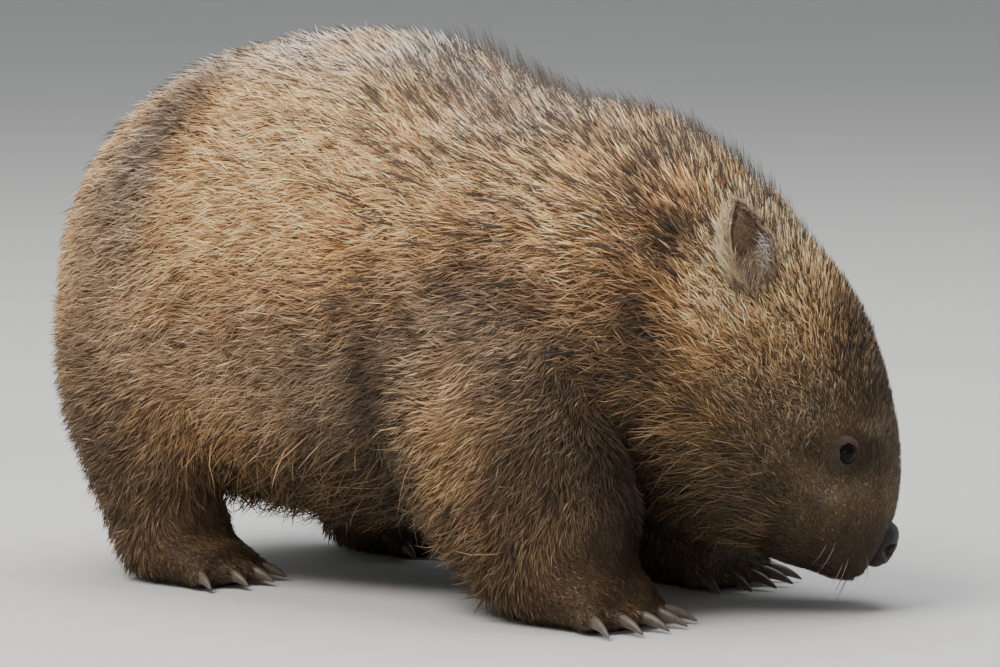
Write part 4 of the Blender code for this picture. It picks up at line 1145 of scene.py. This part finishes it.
def coat_leg(groom, leg):
    """The coat of one leg and the short hair of its paw."""
    spacing = groom.sizes.spacing * 1.06
    fine = np.linspace(0.6, len(leg.stations) - 1.05, 200)
    surface, arc = partial(leg_points, leg), np.linspace(0, 2 * math.pi, 33)
    run = run_along(surface, fine, arc)
    row_places = np.interp(np.linspace(0, run[-1], 2 * int(run[-1] / spacing) + 1), run, fine)
    at, share, cell, clump = jittered_rows(surface, arc, row_places, spacing, groom.draw)
    turn = share * 2 * math.pi
    on_paw = smooth_step(at, ANKLE - 0.9, ANKLE + 0.8)
    rear = np.clip(-np.cos(turn), 0, 1)
    length = groom.sizes.length * ((0.92 + 0.35 * rear) * (1 - on_paw) + 0.30 * on_paw)
    return grown_on(
        groom, f"coat_{leg.name}", surface(at, turn), leg_lie(at, turn), cell, clump, length, dark=0.12, pale=0.22,
        pull=0.16, lift=1.0 + 0.35 * rear, reach=0.0045 + 0.0175 * on_paw,
    )


def long_hairs(groom, name, at, angle, length, lie=None, root=None, cell=None, each=1, **look):
    """Longer hairs over the coat, at drawn places on the hide or at given roots, each so many to a lock."""
    root = hide_points(at, angle) if root is None else root
    lie = hide_lie(at, angle) if lie is None else lie
    cell = np.stack([np.abs(angle) / math.pi, at / LAST], axis=1) if cell is None else cell
    return grown_on(groom, name, root, lie, cell, np.arange(len(at)) // each, length, **look)


def guard_hairs(groom, side):
    """Longer hairs of one side: guards on the flank and the spine, bristles in tufts on the nape, ruff and belly."""
    draw, usual = groom.draw, groom.sizes.length
    made = []

    def grow(name, at, angle, length, **look):
        """Adds one piece of this side."""
        made.append(long_hairs(groom, f"{name}_{SIDES[side]}", at, angle, length, **look))

    at = draw.uniform(0.5, 11.5, FLANK_GUARDS)
    grow("guard_flank", at, -side * draw.uniform(0.15, 2.1, FLANK_GUARDS),
         usual * (1.05 - 0.45 * smooth_step(at, 9.0, 11.5)),
         dark=0.25, pale=0.70, pull=0.0, lift=1.10, wobble=0.42, thin=0.85, links=2)
    at = np.repeat(draw.uniform(4.2, 11.8, TUFTS), TUFT_HAIRS)
    angle = np.repeat(np.abs(draw.normal(0, 0.60, TUFTS)), TUFT_HAIRS)
    at, angle = at + draw.normal(0, 0.010, len(at)), np.maximum(angle + draw.normal(0, 0.008, len(at)), 0.002)
    grow("bristles", at, -side * angle, groom.sizes.bristle * (1 - 0.58 * smooth_step(at, 9.0, 11.3)),
         dark=1.0, pale=0.0, pull=0.90, lift=2.15, bend=0.45, wobble=0.06, thin=1.15, each=TUFT_HAIRS,
         swirl=0.15, locks=0.10, links=2)
    at = draw.uniform(0.8, 5.0, SPINE_GUARDS)
    grow("guard_spine", at, -side * np.abs(draw.normal(0, 0.40, SPINE_GUARDS)), usual * 1.3,
         dark=0.60, pale=0.30, pull=0.0, lift=1.0, wobble=0.28, thin=0.95)
    at, angle = draw.uniform(8.0, 12.6, RUFF_HAIRS), draw.uniform(1.65, 2.80, RUFF_HAIRS)
    hung = smooth_step(angle, 2.0, 2.5)
    grow("ruff", at, -side * angle, usual * (1.75 + 0.45 * hung - 0.95 * smooth_step(at, 9.8, 12.6)),
         dark=0.12, pale=0.55, pull=0.5, lift=1.1 + 0.9 * hung, wobble=0.25, thin=1.25, each=4, links=2)
    at, angle = draw.uniform(0.7, 6.8, BELLY_HAIRS), draw.uniform(2.05, 3.1, BELLY_HAIRS)
    grow("belly", at, -side * angle, usual * 1.95,
         dark=0.2, pale=0.35, pull=0.6, lift=1.9, bend=0.5, wobble=0.35, thin=1.35, each=5, links=2)
    at, angle = (float(value) for value in place_on_hide(EAR_BASE, side))
    at, angle = at + draw.normal(0, 0.55, EAR_RUFF_HAIRS), angle + draw.normal(0, 0.27, EAR_RUFF_HAIRS)
    grow("ear_ruff", at, angle, np.full(EAR_RUFF_HAIRS, 0.85) * usual,
         dark=0.08, pale=0.50, pull=0.3, lift=1.3, wobble=0.45, thin=1.1, each=4)
    return made


def leg_fringe(groom, leg):
    """Shaggy hair behind the elbow or the hock, and a shorter fringe round the ankle over the paw."""
    draw, fore = groom.draw, leg.stations is FORE_LEG
    rear, front = (1600, 500) if fore else (800, 300)
    at = np.concatenate([draw.uniform(1.9, 4.6, rear), draw.uniform(4.0, 5.2, front)])
    turn = np.concatenate([math.pi + draw.normal(0, 0.62, rear), draw.uniform(0, 2 * math.pi, front)])
    low = np.arange(rear + front) >= rear
    length = np.where(low, 0.80, 1.90 if fore else 1.35) * groom.sizes.length
    lie = leg_lie(at, turn) + np.where(low, 0.0, -0.45)[:, None] * np.array([1.0, 0.0, 0.0])
    cell = np.stack([turn / (2 * math.pi) % 1, at / (len(leg.stations) - 1)], axis=1)
    return long_hairs(
        groom, f"fringe_{leg.name}", at, turn, length, lie=unit(lie), root=leg_points(leg, at, turn), cell=cell,
        dark=0.15, pale=0.35, pull=0.6, lift=np.where(low, 1.1, 1.9 if fore else 1.3), wobble=0.2, thin=1.3,
        each=5, links=2, reach=0.010,
    )


def coat_toes(groom, leg):
    """Short hair over the tops and the sides of the toes, and behind them over the top of the paw."""
    draw = groom.draw
    bases, aheads = toe_bases(leg)
    roots, lies, cells = [], [], []
    for toe, (base, ahead) in enumerate(zip(bases, aheads)):
        aside = np.cross(UP, ahead)
        along = draw.uniform(-0.95, 0.72, TOE_HAIRS)
        about = draw.uniform(-0.35, math.pi + 0.35, TOE_HAIRS)
        ring = np.sqrt(1 - along**2)
        around = np.outer(ring * np.cos(about), aside) + np.outer(ring * np.sin(about), UP)
        roots.append(base + np.outer(along, ahead) * TOE_LENGTH + TOE_RADIUS * around)
        lies.append(np.tile(ahead - 0.25 * UP, (TOE_HAIRS, 1)) + np.outer(np.cos(about) * 0.3, aside))
        cells.append(np.stack([(toe + 0.1 + 0.2 * about) / leg.toes, 0.75 + 0.25 * along], axis=1))
    ahead = np.mean(aheads, axis=0)
    centre = np.mean(bases, axis=0) - 1.3 * TOE_LENGTH * ahead
    points = places_of(groom.skin.data) - SHIFT
    height = points[:, 2] + SHIFT[2]
    near = (np.linalg.norm((points - centre)[:, :2], axis=1) < 0.046) & (height > 0.008) & (height < 0.055)
    top = draw.choice(points[near], PAW_HAIRS) + draw.normal(0, 0.002, (PAW_HAIRS, 3))
    away = top - centre
    roots.append(top)
    lies.append(np.tile(ahead - 0.35 * UP, (PAW_HAIRS, 1)))
    cells.append(np.stack([np.arctan2(away[:, 1], away[:, 0]) / (2 * math.pi) + 0.5, away[:, 2] * 8 + 0.25], axis=1))
    root, lie = np.concatenate(roots), unit(np.concatenate(lies))
    length = np.full(len(root), 0.30) * groom.sizes.length
    return long_hairs(
        groom, f"toes_{leg.name}", length, length, length, lie=lie, root=root, cell=np.concatenate(cells),
        dark=0.3, pale=0.2, pull=0.0, lift=0.9, thin=1.6, reach=0.014,
    )


def ear_hairs(name, groom, place, out, lie, size, lifts, tone, cell, links):
    """Hairs on the ear from their roots, ways and colours, each turned a little at random."""
    sizes, draw, count = groom.sizes, groom.draw, len(place)
    swirl = draw.normal(0, 0.30, count)[:, None]
    lie = unit(lie - out * (lie * out).sum(1, keepdims=True))
    lie = lie * np.cos(swirl) + np.cross(out, lie) * np.sin(swirl)
    size = size * sizes.length * draw.uniform(0.65, 1.2, count)
    lifts = lifts * draw.uniform(0.5, 1.4, count)
    tone = tone * np.exp(draw.normal(0, 0.28, count))[:, None]
    return hair_piece(
        name, place, out, lie, size, sizes.width * 0.95 * draw.uniform(0.7, 1.2, count), lifts, lifts * 0.6,
        draw.normal(0, 0.45, count), (tone * 0.30, tone * 0.80, tone * 1.30), cell, np.arange(count) // 3,
        np.full(count, 0.25), links,
    )


def coat_ear(groom, side):
    """An ear's hair: over its outside, fluffier at its rim, short in its cup, and a grizzled tuft over its foot.

    Long whitish hairs cross the cup from the foot of its front rim."""
    draw = groom.draw
    root, axis, facing, beside = ear_axes(side)
    pale, limb, grey = (np.array(getattr(groom.colours, name)) for name in ("pale", "limb", "grey"))
    parts = []
    for inner, count, length, lifts in ((False, EAR_BACK_HAIRS, 0.62, 0.62), (True, EAR_CUP_HAIRS, 0.46, 0.60)):

        def ground(lift, about, inner=inner):
            """The ear's outside, or the inside of its cup."""
            return ear_points(side, lift, (0.93 if inner else 1.0) * about, EAR_WALL * inner)

        lift, about = draw.uniform(0.02, 0.985, count), draw.uniform(-1, 1, count)
        place, out = ground(lift, about), normals_of(ground, lift, about)
        outward = place - (root + axis * (EAR_LENGTH * lift)[:, None])
        out = out * np.sign((out * outward).sum(1))[:, None] * (-1 if inner else 1)
        rim = smooth_step(np.maximum(np.abs(about), lift), 0.74, 1.0)[:, None]
        if inner:
            tone = limb * (4.4, 4.2, 4.6) * (1 - 0.4 * rim) + pale * 0.10 * rim
        else:
            tone = pale * (0.80 - 0.62 * rim) + limb * 1.9 * rim
        lie = unit(unit(ground(lift + 0.01, about) - place) + rim * np.outer(np.sign(about), beside) * 0.35)
        cell = np.stack([0.25 + 0.2 * about + 0.5 * inner, lift], axis=1)
        parts.append((place, out, lie, length * (1 - 0.35 * rim[:, 0]), np.full(count, lifts), tone, cell))
    short = ear_hairs(f"ear_hair_{SIDES[side]}", groom, *(np.concatenate(values) for values in zip(*parts)), 1)
    count, white = EAR_TUFT_HAIRS, WHITE_HAIRS
    front = beside * -side
    share, lift = draw.uniform(-1.15, 1.15, count), draw.uniform(-0.10, 0.36, count)
    share[:white], lift[:white] = -side * draw.uniform(0.55, 1.15, white), draw.uniform(0.0, 0.42, white)
    low, high = ear_points(side, lift, -1.0), ear_points(side, lift, 1.0)
    if ((high - low) @ beside).mean() < 0:
        low, high = high, low
    place = (low + high) / 2 + (high - low) / 2 * share[:, None] - facing * (5.0 * MM * draw.random(count))[:, None]
    kind = draw.random(count)[:, None]
    tone = np.where(kind < 0.5, limb * (3.6, 3.4, 3.8), np.where(kind < 0.88, pale * 0.32, grey))
    lie = axis + np.outer(draw.normal(0, 0.35, count) - 0.35 * share, beside)
    size, lifts = np.full(count, 0.72), np.full(count, 0.42)
    tone[:white] = grey * 1.7
    lie[:white] = axis * 0.75 - front * 0.70 + np.outer(draw.normal(0, 0.22, white), beside)
    size[:white], lifts[:white] = 1.05, 0.30
    cell = np.stack([0.5 + 0.4 * share, 0.2 + lift], axis=1)
    out = np.tile(facing, (count, 1))
    return short, ear_hairs(f"ear_tuft_{SIDES[side]}", groom, place, out, unit(lie), size, lifts, tone, cell, 2)


def whiskers(groom):
    """Stiff dark whiskers on the upper lip and over the eyes."""
    draw, colours = groom.draw, groom.colours
    count = LIP_WHISKERS + BROW_WHISKERS
    at = np.concatenate([draw.uniform(13.6, 15.3, LIP_WHISKERS), draw.uniform(12.2, 12.7, BROW_WHISKERS)])
    angle = np.concatenate([draw.uniform(1.3, 2.0, LIP_WHISKERS), draw.uniform(0.55, 0.85, BROW_WHISKERS)])
    angle = angle * np.where(np.arange(count) % 2, 1, -1)
    place, out = hide_points(at, angle), normals_of(hide_points, at, angle)
    lie = unit(hide_points(at - 0.05, angle) - place - UP * 0.002)
    cell = np.stack([0.5 + angle / (2 * math.pi), at / LAST], axis=1)
    dark = (draw.random(count) < np.repeat((0.6, 2.0), (LIP_WHISKERS, BROW_WHISKERS)))[:, None]
    tone = np.where(dark, np.array(colours.dark) * 0.6, np.array(colours.grey) * 0.8)
    lift = draw.uniform(0.75, 1.15, count)
    return hair_piece(
        "whiskers", place, out, lie, draw.uniform(0.020, 0.036, count), np.full(count, 0.00042), lift, lift * 0.8,
        np.zeros(count), (tone, tone, tone), cell, np.arange(count), np.zeros(count), 2,
    )


def nose_centre():
    """The middle of the nose pad, on the turned head."""
    fore = np.array([math.cos(HEAD_TURN), math.sin(HEAD_TURN), 0.0])
    return np.array([TURN_PIVOT_X, 0, 0]) + fore * (NOSE_AT[0] - TURN_PIVOT_X) + UP * NOSE_AT[1]


# Operators


def dress(made, slot, *nodes):
    """Sets a finished piece on the body, in place of nodes of the solids."""
    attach(made, "root")
    if nodes:
        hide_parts(*nodes)
    return made


def groom_of(context, seed):
    """What the hair needs: the skin, the panel's sizes and colours, and a generator of its own."""
    scene = context.scene
    return Groom(bpy.data.objects["skin"], scene.wombat_sizes, scene.wombat_colours, np.random.default_rng(seed))


class WOMBAT_OT_skin(bpy.types.Operator):
    """One skin over trunk, head, legs, paws and tail, with ears, lids and lips."""

    bl_idname = "wombat.skin"
    bl_label = "Skin"

    def execute(self, context):
        sizes, colours = context.scene.wombat_sizes, context.scene.wombat_colours
        skin = detail_skin(build_skin(sizes), colours)
        dress(skin, "coat", *FLESH)
        return {"FINISHED"}


class WOMBAT_OT_eyes(bpy.types.Operator):
    """Two small dark eyes, each a glossy ball."""

    bl_idname = "wombat.eyes"
    bl_label = "Eyes"

    def execute(self, context):
        dark_brown = ((0.003, 0.002, 0.0015), (0.010, 0.006, 0.004))
        material = grained_material("wet_eye", (0.04, 0.09), (420.0,), dark_brown)
        for side, (_, normal, ahead, aside) in EYES.items():
            rings = ball_points(EYE_CENTRES[side], normal * EYE_RADIUS, ahead * EYE_RADIUS, aside * EYE_RADIUS, 64, 48)
            made = loft_piece(f"eyeball_{SIDES[side]}", rings, material)
            dress(made, "eye", f"eye_{SIDES[side]}")
        return {"FINISHED"}


class WOMBAT_OT_nose(bpy.types.Operator):
    """The bare, grained nose pad with two nostrils and a groove between them."""

    bl_idname = "wombat.nose"
    bl_label = "Nose"

    def execute(self, context):
        fore = np.array([math.cos(HEAD_TURN), math.sin(HEAD_TURN), 0.0])
        left = np.array([-math.sin(HEAD_TURN), math.cos(HEAD_TURN), 0.0])
        out, rise = fore * 0.86 - UP * 0.51, fore * 0.51 + UP * 0.86
        depth, half_width, half_height = NOSE_SIZE
        rings = ball_points(np.zeros(3), out, left, rise, 104, 76)
        rings = rings / (np.abs(rings @ out) ** 2.5 + np.abs(rings @ left) ** 2.7
                         + np.abs(rings @ rise) ** 2.7)[..., None] ** (1 / 2.65)
        o, l, r = rings @ out, rings @ left, rings @ rise
        front = smooth_step(o, 0.05, 0.45)
        dent = 1 - 0.13 * np.exp(-((l / 0.06) ** 2)) * front * smooth_step(-r, -0.45, 0.25)
        for side in (-1, 1):
            u = (l * side - 0.50) * 0.86 - (r + 0.06) * 0.5
            v = (l * side - 0.50) * 0.5 + (r + 0.06) * 0.86
            dent -= 0.62 * np.exp(-((u / 0.23) ** 2) - (v / 0.19) ** 2) * front
            slit = np.hypot(l * side - 0.56, r - 0.05)
            dent -= 0.22 * np.exp(-(((slit - 0.34) / 0.07) ** 2)) * smooth_step(l * side, 0.55, 0.85) * (r > -0.3)
            dent += 0.10 * np.exp(-(((np.hypot(u, v) - 0.36) / 0.12) ** 2)) * front
        l = l * (1 + 0.10 * r)
        shape = out * (o * depth)[..., None] + left * (l * half_width)[..., None] + rise * (r * half_height)[..., None]
        shape = shape * (dent + 0.012 * ripple(shape, 2.2 * MM, 41))[..., None]
        blacks = ((0.008, 0.007, 0.007), (0.036, 0.029, 0.027))
        material = grained_material("nose_pad", (0.48, 0.40), (1500.0, 2.0), blacks, rough=(0.9, 0.0008))
        dress(loft_piece("nose_pad", nose_centre() + shape, material), "nose", "nose")
        return {"FINISHED"}


class WOMBAT_OT_claws(bpy.types.Operator):
    """The claws of all four paws, curved and flattened."""

    bl_idname = "wombat.claws"
    bl_label = "Claws"

    def execute(self, context):
        pieces = []
        turn = np.linspace(0, 2 * math.pi, 20, endpoint=False)[None, :, None]
        for leg in LEGS:
            for base, ahead in zip(*toe_bases(leg)):
                root = base + ahead * TOE_LENGTH * 0.55
                share = np.linspace(0, 1, 18)
                bend = (0.15 + 0.95 * share) * CLAW_DROP
                length = leg.claw + TOE_LENGTH * 0.17
                step = (ahead * np.cos(bend)[:, None] - UP * np.sin(bend)[:, None]) * length / 17
                path = root + np.cumsum(step, axis=0) - step[0]
                path[:, 2] += max(0.0, 1.2 * MM + CLAW_TIP - path[-1, 2]) * share
                radius = ((1 - share**1.6) * (CLAW_RADIUS - CLAW_TIP) + CLAW_TIP * (1 - share**12 * 0.8))[:, None, None]
                aside = np.cross(UP, ahead)
                rise = np.cross(ahead, aside)
                rings = path[:, None] + radius * (aside * 0.82 * np.cos(turn) + rise * np.sin(turn))
                pieces.append(loft_piece("claw", rings, None))
        claws = joined("claws", pieces)
        horn = ((0.045, 0.034, 0.026), (0.17, 0.135, 0.10))
        material = grained_material("claw_horn", (0.42, 0.4), (260.0, 5.0), horn, rough=(0.35, 0.0004))
        claws.data.materials.append(material)
        dress(claws, "claw", *CLAW_NODES)
        return {"FINISHED"}


class WOMBAT_OT_coat(bpy.types.Operator):
    """The hair of trunk, neck, head and legs, in one piece for each side of each length."""

    bl_idname = "wombat.coat"
    bl_label = "Coat"

    def execute(self, context):
        groom = groom_of(context, COAT_SEED)
        for part, start, end in HIDE_LENGTHS:
            for side, letter in SIDES.items():
                made = coat_hide(groom, f"coat_{part}_{letter}", start, end, side)
                dress(made, "face" if part == "head" else "coat")
        for leg in LEGS:
            dress(coat_leg(groom, leg), "limbs")
        return {"FINISHED"}


class WOMBAT_OT_long_hair(bpy.types.Operator):
    """Guard hairs, nape bristles, cheek ruff, belly hair, and the fringes and short hair of legs and toes."""

    bl_idname = "wombat.long_hair"
    bl_label = "Long hair"

    def execute(self, context):
        groom = groom_of(context, LONG_HAIR_SEED)
        for side in SIDES:
            for made in guard_hairs(groom, side):
                dress(made, "coat")
        for leg in LEGS:
            dress(leg_fringe(groom, leg), "limbs")
            dress(coat_toes(groom, leg), "paws")
        return {"FINISHED"}


class WOMBAT_OT_face_hair(bpy.types.Operator):
    """The hair of the ears, and whiskers."""

    bl_idname = "wombat.face_hair"
    bl_label = "Ears and whiskers"

    def execute(self, context):
        groom = groom_of(context, FACE_SEED)
        for side in SIDES:
            for made in coat_ear(groom, side):
                dress(made, "ear")
        dress(whiskers(groom), "face")
        return {"FINISHED"}


class WOMBAT_OT_stage(bpy.types.Operator):
    """Pale floor, soft studio light and the camera at the photograph's angle."""

    bl_idname = "wombat.stage"
    bl_label = "Stage"

    def execute(self, context):
        points = np.array([(-1, -1, 0), (-1, 1, 0), (1, -1, 0), (1, 1, 0)]) * FLOOR_HALF
        material = grained_material("pale_floor", (0.85, 0.2), (3.0,), FLOOR_COLOURS)
        floor = mesh_piece("floor", points, [np.array([[0, 2, 3, 1]])], material, shift=False)
        world = bpy.data.worlds.new("studio")
        world.use_nodes = True
        background = world.node_tree.nodes["Background"].inputs
        background["Color"].default_value, background["Strength"].default_value = SKY_COLOUR, SKY_STRENGTH
        context.scene.world = world
        for name, place, energy, size, colour in LAMPS:
            lamp = bpy.data.lights.new(name, "AREA")
            lamp.energy, lamp.size, lamp.color = energy, size, colour
            made = bpy.data.objects.new(name, lamp)
            made.location = place
            made.rotation_mode = "QUATERNION"
            made.rotation_quaternion = (LAMP_TARGET - Vector(place)).to_track_quat("-Z", "Y")
            context.scene.collection.objects.link(made)
        lens = bpy.data.cameras.new("camera")
        lens.sensor_width, lens.lens = SENSOR_WIDTH, CAMERA_LENS
        lens.clip_start, lens.clip_end = 0.1, 200.0
        camera = bpy.data.objects.new("camera", lens)
        back = Vector((
            math.sin(CAMERA_AZIMUTH) * math.cos(CAMERA_LIFT),
            -math.cos(CAMERA_AZIMUTH) * math.cos(CAMERA_LIFT),
            math.sin(CAMERA_LIFT),
        ))
        camera.location = Vector(CAMERA_TARGET) + back * CAMERA_AWAY
        camera.rotation_mode = "QUATERNION"
        camera.rotation_quaternion = (-back).to_track_quat("-Z", "Y")
        context.scene.collection.objects.link(camera)
        context.scene.camera = camera
        return {"FINISHED"}


class WOMBAT_PT_panel(bpy.types.Panel):
    """Lists the wombat's sizes, colours and steps."""

    bl_idname = "WOMBAT_PT_panel"
    bl_label = "Wombat"
    bl_space_type = "VIEW_3D"
    bl_region_type = "UI"
    bl_category = "Wombat"

    def draw(self, context):
        for group in (context.scene.wombat_sizes, context.scene.wombat_colours):
            for name in group.__annotations__:
                self.layout.prop(group, name)
        for step in STEPS:
            self.layout.operator(step.bl_idname)


STEPS = (
    WOMBAT_OT_stage, WOMBAT_OT_skin, WOMBAT_OT_eyes, WOMBAT_OT_nose, WOMBAT_OT_claws, WOMBAT_OT_coat,
    WOMBAT_OT_long_hair, WOMBAT_OT_face_hair,
)
CLASSES = (WombatSizes, WombatColours, *STEPS, WOMBAT_PT_panel)


def register():
    """Adds the classes and the panel's properties."""
    for kind in CLASSES:
        bpy.utils.register_class(kind)
    bpy.types.Scene.wombat_sizes = bpy.props.PointerProperty(type=WombatSizes)
    bpy.types.Scene.wombat_colours = bpy.props.PointerProperty(type=WombatColours)


def unregister():
    """Takes the properties and the classes away again."""
    del bpy.types.Scene.wombat_colours
    del bpy.types.Scene.wombat_sizes
    for kind in reversed(CLASSES):
        bpy.utils.unregister_class(kind)


def main():
    """Builds everything in order."""
    register()
    for step in STEPS:
        group, name = step.bl_idname.split(".")
        getattr(getattr(bpy.ops, group), name)()


if __name__ == "__main__":
    main()
